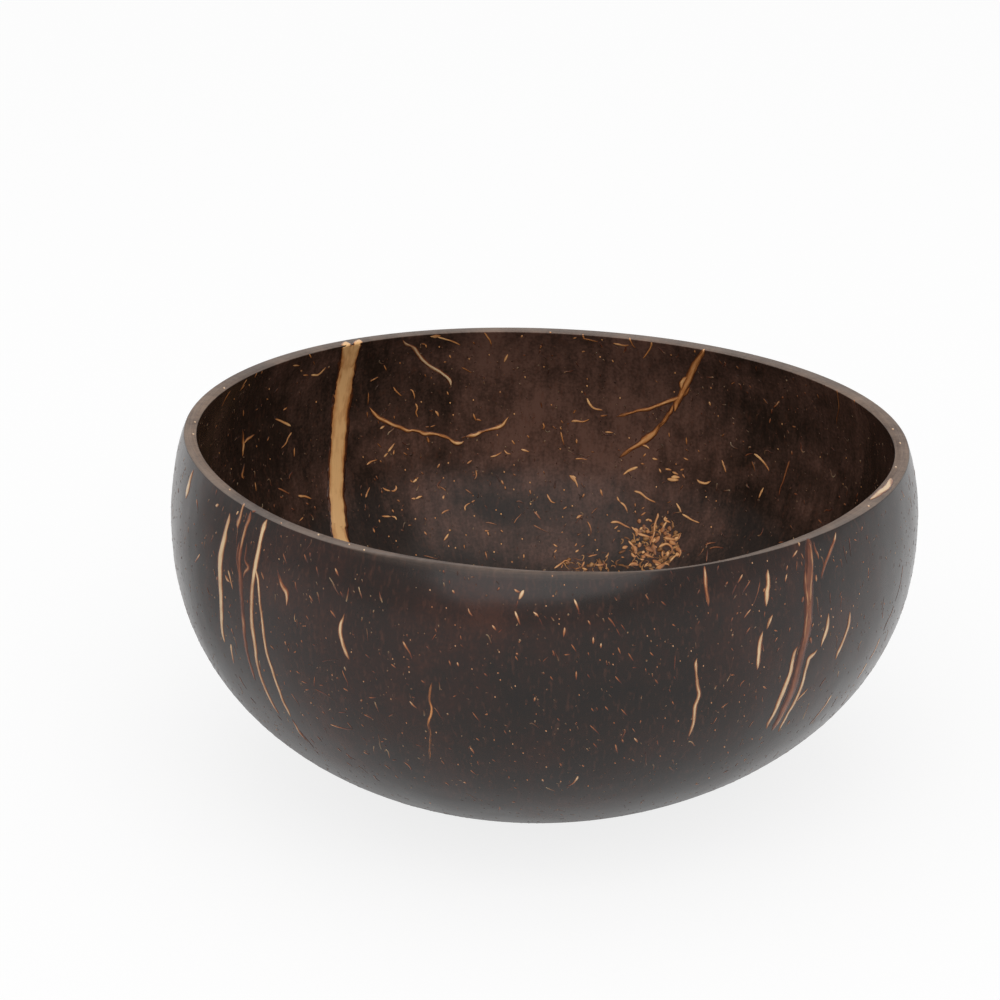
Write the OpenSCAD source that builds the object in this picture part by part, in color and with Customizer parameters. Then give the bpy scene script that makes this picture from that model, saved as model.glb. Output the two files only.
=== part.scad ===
// Coconut shell bowl: half of a coconut's hard shell, sawn level, emptied, sanded inside
// and out, ground flat underneath and polished.
// Millimetres, +Z up. The origin is the middle of the flat foot, on the table.
// The front is -Y. The sawn rim is highest at -X.
// The threads that show in the dark shell are strands of the nut's own fibre. Each strand
// lies in a furrow of the wall and is a solid of its own.
// A place on the wall is a turn and a climb. The turn goes round the nut in degrees, from
// +X towards +Y. The climb is a share of the way up the wall, from 0 at the middle of the
// bottom to 1 at the sawn rim.

/* [Shell] */
// Width of the nut at its belly, the widest place
belly_w = 124.4; // [100:0.2:150]
// Height of the belly above the table
belly_h = 45.4; // [38:0.2:52]
// Height of the sawn rim above the table, in the middle of the bowl
rim_h = 58.4; // [56:0.2:72]
// How far above its belly the whole nut would have closed
crown_h = 47.2; // [40:0.2:60]
// Depth of nut that was ground away for the flat foot
foot_cut = 0.9; // [0.4:0.1:2.5]
// Height of the natural lobes round the nut
lobe_rise = 1.05; // [0:0.05:2]
// How full the side is below the belly, where 2 is an ellipse
side_fullness = 2.25; // [2:0.05:2.6]
// How full the bottom is, where 2 is an ellipse
base_fullness = 2.3; // [2:0.05:2.6]
// Tilt of the sawn rim in degrees
rim_tilt = 1.74; // [0:0.02:3]

/* [Wall] */
// Mean thickness of the wall at the rim
rim_wall = 2.45; // [2:0.05:4]
// How much thicker than the mean the rim is on its thick side
wall_drift = 0.45; // [0:0.05:0.6]
// Thickness of the bottom in its middle
base_wall = 3.3; // [2.5:0.1:6]

/* [Strands] */
// Width of the broad strand that runs down the inside
band_w = 3.1; // [2:0.1:4]
// Depth of the broad strand and of the rim strand in the wall
band_depth = 0.8; // [0.5:0.05:1.1]
// Width of the strand that the saw laid open along the rim
rim_strand_w = 1.3; // [0.8:0.1:1.8]
// Width of the reddish brown strand on the right
brown_w = 1.8; // [1:0.1:2]
// Width of the widest of the other strands
wide_w = 1.4; // [0.9:0.1:1.8]
// Width of a strong strand
strong_w = 0.8; // [0.5:0.05:1]
// Width of a fine strand
fine_w = 0.5; // [0.3:0.05:0.6]
// Depth of the narrow strands in the wall
strand_depth = 0.5; // [0.3:0.05:0.9]
// How far a strand stands out of the wall after polishing
strand_rise = 0.08; // [0.04:0.01:0.2]
// Gap between a strand and its furrow, at its sides and under it
seat_gap = 0.05; // [0.02:0.01:0.1]

/* [Fibre patch] */
// Width of the net of fibre that clings to the inside
patch_w = 11; // [6:0.5:14]
// Height of the net of fibre, up the wall
patch_h = 14; // [8:0.5:16]
// Depth of the net of fibre in the wall
patch_depth = 0.4; // [0.3:0.05:0.8]

/* [Hidden] */

// Colours of the polished shell and of its fibre
shell_colour = "#3b2f2b";
pale_colour = "#d9bb93";
tan_colour = "#c08a55";
brown_colour = "#7a4630";
orange_colour = "#b4602f";

// Number of lobes round the nut, the turn of one of them, and the turn of the thick side
lobes = 3;
lobe_turn = 23;
thick_turn = 54;
// Columns of facets round the nut, and rows of them up each face of the wall
columns = 64;
rows = 22;
// Degrees over which a slope is measured
probe = 0.1;
// How far the cuts of saw and grinder run past what they cut
overrun = 3;
// How far the cutter of a furrow stands out of the wall
cutter_rise = 0.6;
// Sides of the wall on which a strand can lie
OUTSIDE = 1;
INSIDE = -1;

belly_r = belly_w / 2;
rim_drop = belly_r * tan(rim_tilt);
mean_rim_angle = nut_angle(rim_h);
blank_angle = nut_angle(rim_h + rim_drop + overrun);

// Shape of the nut, by a polar angle that is 0 at the middle of the bottom and 90 at the belly

function nut_angle(height) = 90 + asin((height - belly_h) / crown_h);

function nut_r(angle) = belly_r * (angle < 90 ? pow(sin(angle), 2 / side_fullness) : sin(angle));

function nut_z(angle) = angle < 90
    ? belly_h - (belly_h + foot_cut) * pow(cos(angle), 2 / base_fullness)
    : belly_h - crown_h * cos(angle);

function lobe_scale(turn) = 1 + lobe_rise / belly_r * cos(lobes * (turn - lobe_turn));

// Outward direction of the nut's profile, as [radial, upward]
function nut_lean(angle) =
    let (low = max(angle - probe, 0), high = angle + probe)
    let (run = nut_r(high) - nut_r(low), rise = nut_z(high) - nut_z(low))
    [rise, -run] / norm([rise, run]);

// Thickness of the wall before the foot is ground
function wall_at(turn, angle) =
    let (at_base = base_wall + foot_cut)
    let (at_rim = rim_wall + wall_drift * cos(turn - thick_turn))
    at_base + (at_rim - at_base) * angle / mean_rim_angle;

// Point on the outer or the inner face of the wall
function wall_point(side, turn, angle) =
    let (inset = side == OUTSIDE ? 0 : wall_at(turn, angle), lean = nut_lean(angle))
    let (r = nut_r(angle) * lobe_scale(turn) - inset * lean.x)
    [r * cos(turn), r * sin(turn), nut_z(angle) - inset * lean.y];

// Steps along the face for one degree of turn, and up it for one degree of polar angle
function turn_step(side, turn, angle) =
    (wall_point(side, turn + probe, angle) - wall_point(side, turn - probe, angle)) / (2 * probe);

function climb_step(side, turn, angle) =
    (wall_point(side, turn, angle + probe) - wall_point(side, turn, angle - probe)) / (2 * probe);

// Polar angle at which the saw passes through a face, closed in on in a few steps
function rim_angle(side, turn, angle = mean_rim_angle, steps = 3) =
    let (here = wall_point(side, turn, angle), miss = rim_h - here.x * tan(rim_tilt) - here.z)
    steps == 0 ? angle : rim_angle(side, turn, angle + miss / climb_step(side, turn, angle).z, steps - 1);

// Point at some way along and up the face from a place, lifted off the face
function near_wall(side, turn, angle, along, up, lift) =
    let (t = turn + along / norm(turn_step(side, turn, angle)))
    let (a = angle + up / norm(climb_step(side, turn, angle)))
    let (out = side * cross(turn_step(side, t, a), climb_step(side, t, a)))
    wall_point(side, t, a) + out * lift / norm(out);

// Routes of the strands, as lists of [turn, climb] joined by a smooth curve

function route_at(route, s) =
    let (last = len(route) - 1, i = min(floor(s), last - 1), t = s - i)
    let (before = route[max(i - 1, 0)], from = route[i], to = route[i + 1])
    let (after = route[min(i + 2, last)])
    from + t * (to - before) / 2
        + t * t * (before - 2.5 * from + 2 * to - after / 2)
        + t * t * t * (3 * (from - to) + after - before) / 2;

// Direction of a route on the face, as a unit step [along, up]
function route_heading(side, route, s) =
    let (last = len(route) - 1, here = route_at(route, s), at_rim = rim_angle(side, here.x))
    let (change = route_at(route, min(s + probe, last)) - route_at(route, max(s - probe, 0)))
    let (along = change.x * norm(turn_step(side, here.x, here.y * at_rim)))
    let (up = change.y * at_rim * norm(climb_step(side, here.x, here.y * at_rim)))
    [along, up] / norm([along, up]);

// Section of a strand: each point has a share of the half width, and a share of the rise
// out of the wall or of the depth in it
rise_shares = [[1, 0], [0.6, 1], [-0.6, 1], [-1, 0]];
depth_shares = [[-0.6, 1], [0.6, 1]];
// Width that a strand keeps at its ends
end_share = 0.35;
// Rings of a strand from one place of its route to the next
rings_per_step = 3;

// Outline across a strand, or across the cutter of its furrow where there is a gap
function section(half, depth, gap) = [
    for (p = rise_shares)
        gap > 0 ? [half * sign(p.x), p.y * cutter_rise] : [half * p.x, p.y * strand_rise],
    for (p = depth_shares)
        [half * p.x, -p.y * (depth + gap)]
];

function strand_ring(side, route, s, width, depth, gap, push) =
    let (place = route_at(route, s), ahead = route_heading(side, route, s))
    let (swell = end_share + (1 - end_share) * sqrt(max(sin(180 * s / (len(route) - 1)), 0)))
    let (angle = place.y * rim_angle(side, place.x))
    [
        for (p = section(width / 2 * swell + gap, depth, gap))
            near_wall(side, place.x, angle,
                push * ahead.x + side * p.x * ahead.y,
                push * ahead.y - side * p.x * ahead.x, p.y)
    ];

// Closed solid through rings that all have the same number of points
module loft(rings) {
    n = len(rings[0]);
    last = len(rings) - 1;
    end = last * n;
    walls = [
        for (i = [0 : last - 1], k = [0 : n - 1])
            let (a = i * n + k, b = i * n + (k + 1) % n)
            each [[a, b, a + n], [b, b + n, a + n]]
    ];
    first_end = [for (k = [1 : n - 2]) [0, k + 1, k]];
    last_end = [for (k = [1 : n - 2]) [end, end + k, end + k + 1]];
    polyhedron([for (ring = rings) each ring], concat(walls, first_end, last_end));
}

module strand(side, route, width, depth, gap) {
    last = len(route) - 1;
    count = last * rings_per_step;
    loft([
        for (i = [0 : count])
            strand_ring(side, route, i * last / count, width, depth, gap,
                i == 0 ? -gap : i == count ? gap : 0)
    ]);
}

// Everything above the sawn rim
module saw_cut() {
    span = belly_w + 2 * overrun;
    translate([0, 0, rim_h])
        rotate([0, rim_tilt, 0])
            translate([-span / 2, -span / 2, 0])
                cube([span, span, crown_h]);
}

// Everything below the ground foot
module foot_grind() {
    span = belly_w + 2 * overrun;
    depth = foot_cut + overrun;
    translate([-span / 2, -span / 2, -depth])
        cube([span, span, depth]);
}

// A strand that the saw went through: it ends level with the rim
module sawn(gap) {
    if (gap > 0) {
        children();
    } else {
        difference() {
            children();
            saw_cut();
        }
    }
}

// The whole nut up to somewhat above the saw cut, with its hollow
module shell_blank() {
    climbs = [for (i = [1 : rows]) blank_angle * i / rows];
    turns = [for (k = [0 : columns - 1]) 360 * k / columns];
    rings = [
        for (angle = climbs) [for (turn = turns) wall_point(OUTSIDE, turn, angle)],
        for (i = [rows - 1 : -1 : 0]) [for (turn = turns) wall_point(INSIDE, turn, climbs[i])]
    ];
    points = [wall_point(OUTSIDE, 0, 0), for (ring = rings) each ring, wall_point(INSIDE, 0, 0)];
    top = len(points) - 1;
    walls = [
        for (i = [0 : len(rings) - 2], k = [0 : columns - 1])
            let (a = 1 + i * columns + k, b = 1 + i * columns + (k + 1) % columns)
            each [[a, a + columns, b], [b, a + columns, b + columns]]
    ];
    under_fan = [for (k = [1 : columns]) [0, k, 1 + k % columns]];
    inner_fan = [for (k = [1 : columns]) [top, top - k, top - 1 - k % columns]];
    polyhedron(points, concat(walls, under_fan, inner_fan));
}

// Sub-parts. Each strand's module also draws the cutter of its furrow, where it gets a gap

module shell() {
    color(shell_colour)
        difference() {
            shell_blank();
            saw_cut();
            foot_grind();
            inner_broad_strand(seat_gap);
            inner_forked_strand(seat_gap);
            inner_arched_strand(seat_gap);
            inner_wavy_strand(seat_gap);
            inner_side_strand(seat_gap);
            inner_fibre_patch(seat_gap);
            rim_strand(seat_gap);
            left_edge_strand(seat_gap);
            left_pale_strand(seat_gap);
            left_brown_strand(seat_gap);
            left_forked_strand(seat_gap);
            left_short_strand(seat_gap);
            front_left_strand(seat_gap);
            front_low_strand(seat_gap);
            front_right_strand(seat_gap);
            front_orange_strand(seat_gap);
            right_upper_strand(seat_gap);
            right_lower_strand(seat_gap);
            right_brown_strand(seat_gap);
            right_near_flank_strand(seat_gap);
            right_far_flank_strand(seat_gap);
            right_rim_strand(seat_gap);
            right_short_strand(seat_gap);
            right_edge_strand(seat_gap);
        }
}

// Runs from the back of the rim down the wall towards the bottom
module inner_broad_strand(gap = 0) {
    route_shares = [[125.5, 1.025], [126, 0.89], [127, 0.78], [129, 0.68], [130, 0.595], [131, 0.49],
        [133, 0.39]];
    color(tan_colour)
        sawn(gap)
            strand(INSIDE, route_shares, band_w, band_depth, gap);
}

// Leaves the back of the rim and forks on its way down
module inner_forked_strand(gap = 0) {
    stem_shares = [[59, 1.035], [61.5, 0.975], [65.5, 0.88], [67, 0.83], [71, 0.785], [76, 0.74]];
    branch_shares = [[64.8, 0.895], [68, 0.85], [74, 0.83], [80, 0.815], [85.5, 0.8]];
    color(tan_colour)
        sawn(gap) {
            strand(INSIDE, stem_shares, wide_w, strand_depth, gap);
            strand(INSIDE, branch_shares, fine_w, strand_depth, gap);
        }
}

// Hangs across the back of the wall like a slack thread
module inner_arched_strand(gap = 0) {
    route_shares = [[120.5, 0.83], [116.5, 0.8], [110, 0.78], [105, 0.76], [102.5, 0.775], [98, 0.79],
        [96, 0.805]];
    color(tan_colour)
        strand(INSIDE, route_shares, fine_w, strand_depth, gap);
}

module inner_wavy_strand(gap = 0) {
    route_shares = [[115.5, 1.01], [113, 0.96], [111.5, 0.94], [109, 0.91], [107, 0.89], [106, 0.87]];
    color(pale_colour)
        sawn(gap)
            strand(INSIDE, route_shares, fine_w, strand_depth, gap);
}

// Short upright strand on the left of the inside, with a side shoot
module inner_side_strand(gap = 0) {
    stem_shares = [[149, 0.88], [149, 0.84], [149, 0.81], [149.5, 0.78]];
    shoot_shares = [[149, 0.83], [147.3, 0.845], [145.7, 0.845]];
    color(tan_colour) {
        strand(INSIDE, stem_shares, strong_w, strand_depth, gap);
        strand(INSIDE, shoot_shares, fine_w, strand_depth, gap);
    }
}

// Net of fibre left on the inside at the back
module inner_fibre_patch(gap = 0) {
    turn = 66;
    climb_share = 0.565;
    // Rings from the middle of its face to its edge, and on to the middle of its back:
    // share of its reach, share of its rise and share of its depth
    ring_shares = [[0.1, 1, 0], [0.55, 1, 0], [0.94, 1, 0], [1, 0, 0], [0.94, 0, 0.7], [0.8, 0, 1],
        [0.1, 0, 1]];
    cutter_shares = [[0.1, 1, 0], [1, 1, 0], [1, 0, 0], [0.94, 0, 0.7], [0.8, 0, 1], [0.1, 0, 1]];
    // Ragged edge: counts of broad and of narrow tongues, and how far they stand out, as shares
    // of the net's own reach
    tongues = [3, 8];
    tongue_shares = [0.09, 0.05];
    points_round = 32;
    color(tan_colour)
        loft([
            for (ring = gap > 0 ? cutter_shares : ring_shares) [
                for (k = [0 : points_round - 1])
                    let (way = -360 * k / points_round)
                    let (broad = tongue_shares[0] * sin(tongues[0] * way))
                    let (narrow = tongue_shares[1] * cos(tongues[1] * way))
                    let (reach = ring.x * (1 + broad + narrow))
                    let (lift = ring.y * (gap > 0 ? cutter_rise : strand_rise))
                    near_wall(INSIDE, turn, climb_share * rim_angle(INSIDE, turn),
                        reach * (patch_w / 2 + gap) * cos(way), reach * (patch_h / 2 + gap) * sin(way),
                        lift - ring.z * (patch_depth + gap))
            ]
        ]);
}

// Lies along the inner edge of the rim, where the saw laid it open lengthwise
module rim_strand(gap = 0) {
    route_shares = [[-11, 1], [-14, 1], [-17, 1], [-20, 1], [-23.5, 1]];
    color(pale_colour)
        sawn(gap)
            strand(INSIDE, route_shares, rim_strand_w, band_depth, gap);
}

module left_edge_strand(gap = 0) {
    route_shares = [[-164.3, 0.98], [-164, 0.96], [-163.3, 0.935]];
    color(pale_colour)
        strand(OUTSIDE, route_shares, wide_w, strand_depth, gap);
}

module left_pale_strand(gap = 0) {
    route_shares = [[-145.8, 0.975], [-146.5, 0.895], [-146.5, 0.815], [-146.7, 0.745]];
    color(pale_colour)
        strand(OUTSIDE, route_shares, wide_w, strand_depth, gap);
}

module left_brown_strand(gap = 0) {
    route_shares = [[-141, 1.015], [-141.3, 0.935], [-140.5, 0.855], [-140.2, 0.765], [-139.5, 0.7]];
    color(brown_colour)
        sawn(gap)
            strand(OUTSIDE, route_shares, strong_w, strand_depth, gap);
}

// Starts under the rim and forks into two that part slowly on their way down
module left_forked_strand(gap = 0) {
    stem_shares = [[-136.8, 0.99], [-137.2, 0.945], [-137.1, 0.915], [-137.6, 0.875], [-138, 0.815],
        [-137.7, 0.75], [-137, 0.69], [-136, 0.635]];
    branch_shares = [[-137.1, 0.92], [-136, 0.87], [-135.1, 0.81], [-134.2, 0.74], [-133, 0.69],
        [-132.3, 0.65]];
    color(pale_colour) {
        strand(OUTSIDE, stem_shares, strong_w, strand_depth, gap);
        strand(OUTSIDE, branch_shares, fine_w, strand_depth, gap);
    }
}

module left_short_strand(gap = 0) {
    route_shares = [[-132.2, 0.92], [-130.5, 0.89], [-129.9, 0.865]];
    color(orange_colour)
        strand(OUTSIDE, route_shares, strong_w, strand_depth, gap);
}

module front_left_strand(gap = 0) {
    route_shares = [[-119, 0.9], [-119.7, 0.87], [-119.3, 0.84], [-118.2, 0.81]];
    color(pale_colour)
        strand(OUTSIDE, route_shares, fine_w, strand_depth, gap);
}

module front_low_strand(gap = 0) {
    route_shares = [[-105.7, 0.785], [-106, 0.745], [-107.3, 0.65]];
    color(tan_colour)
        strand(OUTSIDE, route_shares, fine_w, strand_depth, gap);
}

module front_right_strand(gap = 0) {
    route_shares = [[-67.5, 0.84], [-67, 0.79], [-67.2, 0.745], [-67.4, 0.695]];
    color(pale_colour)
        strand(OUTSIDE, route_shares, fine_w, strand_depth, gap);
}

module front_orange_strand(gap = 0) {
    route_shares = [[-65.6, 1.02], [-65.7, 0.965], [-65.4, 0.93]];
    color(orange_colour)
        sawn(gap)
            strand(OUTSIDE, route_shares, fine_w, strand_depth, gap);
}

module right_upper_strand(gap = 0) {
    route_shares = [[-54.8, 0.965], [-55.2, 0.93], [-55.8, 0.9]];
    color(pale_colour)
        strand(OUTSIDE, route_shares, strong_w, strand_depth, gap);
}

module right_lower_strand(gap = 0) {
    route_shares = [[-56.4, 0.855], [-56.8, 0.83], [-56.9, 0.8]];
    color(pale_colour)
        strand(OUTSIDE, route_shares, strong_w, strand_depth, gap);
}

// Broad flat strand that runs from the rim far down the right of the front
module right_brown_strand(gap = 0) {
    route_shares = [[-45.3, 1.025], [-46.5, 0.945], [-47.2, 0.865], [-48.2, 0.795], [-49.6, 0.72],
        [-50.6, 0.65]];
    color(brown_colour)
        sawn(gap)
            strand(OUTSIDE, route_shares, brown_w, strand_depth, gap);
}

// Pale strand beside the brown one, on the side of the bowl's front
module right_near_flank_strand(gap = 0) {
    route_shares = [[-49.4, 0.82], [-50.5, 0.765], [-51.5, 0.7], [-52.2, 0.66]];
    color(pale_colour)
        strand(OUTSIDE, route_shares, strong_w, strand_depth, gap);
}

// Pale strand beside the brown one, on the other side of it
module right_far_flank_strand(gap = 0) {
    route_shares = [[-44.9, 0.8], [-46.8, 0.775], [-47.4, 0.71], [-49, 0.645]];
    color(pale_colour)
        strand(OUTSIDE, route_shares, strong_w, strand_depth, gap);
}

module right_rim_strand(gap = 0) {
    route_shares = [[-39.4, 0.99], [-41.5, 0.96], [-43.6, 0.935]];
    color(orange_colour)
        strand(OUTSIDE, route_shares, fine_w, strand_depth, gap);
}

module right_short_strand(gap = 0) {
    route_shares = [[-42.7, 0.85], [-43.5, 0.83], [-44, 0.805]];
    color(pale_colour)
        strand(OUTSIDE, route_shares, strong_w, strand_depth, gap);
}

module right_edge_strand(gap = 0) {
    route_shares = [[-37, 0.84], [-38, 0.8], [-39.4, 0.76]];
    color(pale_colour)
        strand(OUTSIDE, route_shares, strong_w, strand_depth, gap);
}

shell();
inner_broad_strand();
inner_forked_strand();
inner_arched_strand();
inner_wavy_strand();
inner_side_strand();
inner_fibre_patch();
rim_strand();
left_edge_strand();
left_pale_strand();
left_brown_strand();
left_forked_strand();
left_short_strand();
front_left_strand();
front_low_strand();
front_right_strand();
front_orange_strand();
right_upper_strand();
right_lower_strand();
right_brown_strand();
right_near_flank_strand();
right_far_flank_strand();
right_rim_strand();
right_short_strand();
right_edge_strand();
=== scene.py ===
import math

import bpy
import numpy as np
from mathutils import Matrix, Vector
from mathutils.bvhtree import BVHTree


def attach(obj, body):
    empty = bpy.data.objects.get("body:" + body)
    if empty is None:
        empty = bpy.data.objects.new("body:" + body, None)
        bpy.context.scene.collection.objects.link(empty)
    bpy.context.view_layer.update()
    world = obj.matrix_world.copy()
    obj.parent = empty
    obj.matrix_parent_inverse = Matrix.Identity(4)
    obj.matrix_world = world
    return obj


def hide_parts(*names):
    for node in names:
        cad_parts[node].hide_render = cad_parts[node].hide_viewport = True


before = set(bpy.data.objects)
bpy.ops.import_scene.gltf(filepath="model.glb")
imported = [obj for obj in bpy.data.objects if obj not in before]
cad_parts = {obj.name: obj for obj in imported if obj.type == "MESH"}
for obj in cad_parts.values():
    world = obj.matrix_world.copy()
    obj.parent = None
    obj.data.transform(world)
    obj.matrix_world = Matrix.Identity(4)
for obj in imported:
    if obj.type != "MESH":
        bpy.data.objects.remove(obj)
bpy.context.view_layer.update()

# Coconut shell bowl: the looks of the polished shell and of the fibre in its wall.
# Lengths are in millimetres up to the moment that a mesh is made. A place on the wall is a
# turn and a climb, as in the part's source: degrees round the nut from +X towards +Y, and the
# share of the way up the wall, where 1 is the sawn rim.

MM = 0.001
OUTSIDE, INSIDE = 1, -1

# The nut, with the values of the part's source
BELLY_R = 62.2
BELLY_H = 45.4
RIM_H = 58.4
CROWN_H = 47.2
FOOT_CUT = 0.9
LOBE_RISE, LOBES, LOBE_TURN = 1.05, 3, 23
SIDE_FULLNESS, BASE_FULLNESS = 2.25, 2.3
RIM_TILT = 1.74
RIM_WALL, WALL_DRIFT, THICK_TURN, BASE_WALL = 2.45, 0.45, 54, 3.3

# What sanding and growth add to it. The polish keeps the skin inside the source's facets, and the
# foot is sanded a little, which leaves room for the flecks under it
POLISH = 0.15
RIM_SANDED = 0.06
FOOT_SANDED = 0.05
# Waves of the wall's thickness at the rim: count round the bowl, turn of a crest, height. They
# set in at a share of the way up the wall
RIM_WAVES = [(4, 53, 0.22), (6, 25, 0.12)]
WAVES_FROM = 0.4
# The wall stands out a little at its left end, and most from the second polar angle up
BULGE_TURN, BULGE_SPREAD, BULGE = 180, 22, 0.54
BULGE_START, BULGE_FULL = 96, 108
# Radius of the edges of the rim. At the front the outer one was sanded rounder: its radius
# there, how far the sander took the wall in under it, and how fast that fades down the wall
EDGE_R, INNER_EDGE_R, FRONT_EDGE_R = 0.14, 0.2, 0.5
FRONT_SANDED, FRONT_FADE = 1.2, 3.4
FRONT_EDGE_TURN, FRONT_EDGE_SPREAD = -97, 20
# Where sanding thinned the rim from within, or left it thicker: turn, reach in degrees, depth
RIM_RELIEF = [(-66, 18, 1.25), (-40, 14, 0.6), (-106, 18, -0.5), (180, 30, 0.2)]
RELIEF_FROM = 0.85
# Step of a polar angle over which a slope is measured
SMALL_STEP = 0.1

# The camera, fitted to the photograph: its angle above the table, how far it stands from the
# middle of the bowl, its focal length in pixels of a picture 1000 pixels wide, and how far left of
# the middle and above it the camera aims, since the bowl stands right and low in the picture
PICTURE = 1000
CAMERA_RISE = math.radians(22.07)
CAMERA_FAR = 700
FOCAL = 4175
BOWL_MIDDLE = Vector((0, 0, 29.2))
AIM_LEFT, AIM_UP = 7.03, 17.3
SENSOR = 36


# Shape of the nut

def smooth_step(low, high, value):
    share = np.clip((value - low) / (high - low), 0, 1)
    return share * share * (3 - 2 * share)


def apart(turn, other):
    """Degrees from one turn to another, between -180 and 180."""
    return (turn - other + 180) % 360 - 180


def nut_profile(angle):
    """Radius and height of the nut at a polar angle, 0 under its bottom and 90 at its belly."""
    sine, cosine = np.sin(np.radians(angle)), np.cos(np.radians(angle))
    low = angle < 90
    radius = BELLY_R * np.where(low, np.abs(sine) ** (2 / SIDE_FULLNESS), sine)
    bowl = (BELLY_H + FOOT_CUT) * np.maximum(cosine, 0) ** (2 / BASE_FULLNESS)
    return radius, BELLY_H - np.where(low, bowl, CROWN_H * cosine)


MEAN_RIM_ANGLE = 90 + math.degrees(math.asin((RIM_H - BELLY_H) / CROWN_H))


def wall_thickness(turn, angle):
    at_base = BASE_WALL + FOOT_CUT
    at_rim = RIM_WALL + WALL_DRIFT * np.cos(np.radians(turn - THICK_TURN))
    waves = sum(high * np.cos(np.radians(count * (turn - crest))) for count, crest, high in RIM_WAVES)
    relief = sum(deep * np.exp(-(apart(turn, at) / reach) ** 2) for at, reach, deep in RIM_RELIEF)
    share = angle / MEAN_RIM_ANGLE
    drift = waves * smooth_step(WAVES_FROM, 1, share) - relief * smooth_step(RELIEF_FROM, 1, share)
    return at_base + (at_rim - at_base) * share + drift


def wall(side, turn, angle):
    """Point on the outer or the inner face of the wall."""
    radius, height = nut_profile(angle)
    low_radius, low_height = nut_profile(np.maximum(angle - SMALL_STEP, 0))
    high_radius, high_height = nut_profile(angle + SMALL_STEP)
    run, rise = high_radius - low_radius, high_height - low_height
    slope = np.hypot(run, rise)
    inset = POLISH if side == OUTSIDE else wall_thickness(turn, angle)
    lobed = radius * (1 + LOBE_RISE / BELLY_R * np.cos(np.radians(LOBES * (turn - LOBE_TURN))))
    if side == OUTSIDE:
        near_end = np.exp(-(apart(turn, BULGE_TURN) / BULGE_SPREAD) ** 2)
        lobed = lobed + BULGE * near_end * smooth_step(BULGE_START, BULGE_FULL, angle)
        below = np.maximum(RIM_H - height, 0)
        inset = inset + FRONT_SANDED * rounder_front(turn) * np.exp(-below / FRONT_FADE)
    radius = lobed - inset * rise / slope
    height = height + inset * run / slope
    if side == OUTSIDE:
        height = np.maximum(height, FOOT_SANDED)
    around = np.radians(turn)
    return np.stack([radius * np.cos(around), radius * np.sin(around), height], -1)


def rim_miss(point):
    """How far a point is below the sawn and sanded rim."""
    return RIM_H - RIM_SANDED - point[..., 0] * math.tan(math.radians(RIM_TILT)) - point[..., 2]


def rim_angle(side, turn):
    """Polar angle at which a face of the wall meets the rim, by Newton's method."""
    angle = np.full(np.shape(turn), MEAN_RIM_ANGLE)
    for _ in range(4):
        low, high = wall(side, turn, angle - SMALL_STEP), wall(side, turn, angle + SMALL_STEP)
        angle = angle + rim_miss(wall(side, turn, angle)) * (2 * SMALL_STEP) / (high - low)[..., 2]
    return angle


def edge_radius(side, turn):
    if side == INSIDE:
        return np.full(np.shape(turn), INNER_EDGE_R)
    return EDGE_R + (FRONT_EDGE_R - EDGE_R) * rounder_front(turn)


def rounder_front(turn):
    """How far the outer edge is sanded rounder here, from 0 to 1."""
    return np.exp(-(apart(turn, FRONT_EDGE_TURN) / FRONT_EDGE_SPREAD) ** 4)


def length_of(vectors):
    return np.linalg.norm(vectors, axis=-1)


def climb_length(side, turn, top):
    """Millimetres that a climb of 1 would cover at its pace near the rim."""
    return length_of(wall(side, turn, top) - wall(side, turn, top * 0.99)) * 100


def skin(side, turn, climb):
    """Point on the finished skin. Past climb 1 it runs round the edge and on across the rim."""
    turn, climb = np.broadcast_arrays(np.asarray(turn, float), np.asarray(climb, float))
    top = rim_angle(side, turn)
    corner, other = wall(side, turn, top), wall(-side, turn, rim_angle(-side, turn))
    across = (other - corner) / length_of(other - corner)[..., None]
    full = climb_length(side, turn, top)
    below = (1 - climb) * full
    radius = edge_radius(side, turn)
    start, end = wall(side, turn, top * (1 - radius / full)), corner + across * radius[..., None]
    run = (0.5 - 0.5 * below / radius)[..., None]
    edge = (1 - run) ** 2 * start + 2 * run * (1 - run) * corner + run ** 2 * end
    flat = corner - across * below[..., None]
    return np.where(run <= 0, wall(side, turn, climb * top), np.where(run >= 1, flat, edge))


# Meshes, as parts of points, faces and marks on the points

def loft(rings, **marks):
    """Closed part through rings of points, with a fan over its first and over its last ring."""
    count, around = rings.shape[:2]
    ring = np.arange(around)
    after = (ring + 1) % around
    starts = np.arange(count - 1)[:, None] * around
    low, low_after = starts + ring, starts + after
    quads = np.stack([low, low_after, low_after + around, low + around], -1).reshape(-1, 4).tolist()
    end = (count - 1) * around
    first, last = np.full(around, count * around), np.full(around, count * around + 1)
    fans = np.concatenate([np.stack([first, after, ring], -1),
                           np.stack([last, end + ring, end + after], -1)]).tolist()

    def with_ends(values):
        flat = values.reshape(-1, *values.shape[2:])
        return np.concatenate([flat, values[0].mean(0)[None], values[-1].mean(0)[None]])

    marks = {name: with_ends(values) for name, values in marks.items()}
    return with_ends(rings), quads + fans, marks


def make_mesh(name, parts):
    """One mesh of several parts, in metres, shaded smooth."""
    points, faces, marks, start = [], [], {}, 0
    for part_points, part_faces, part_marks in parts:
        points.append(part_points * MM)
        faces += [[corner + start for corner in face] for face in part_faces]
        for mark, values in part_marks.items():
            marks.setdefault(mark, []).append(values)
        start += len(part_points)
    mesh = bpy.data.meshes.new(name)
    mesh.from_pydata(np.concatenate(points).tolist(), [], faces)
    for mark, values in marks.items():
        add_mark(mesh, mark, np.concatenate(values))
    mesh.polygons.foreach_set("use_smooth", [True] * len(mesh.polygons))
    return mesh


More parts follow.
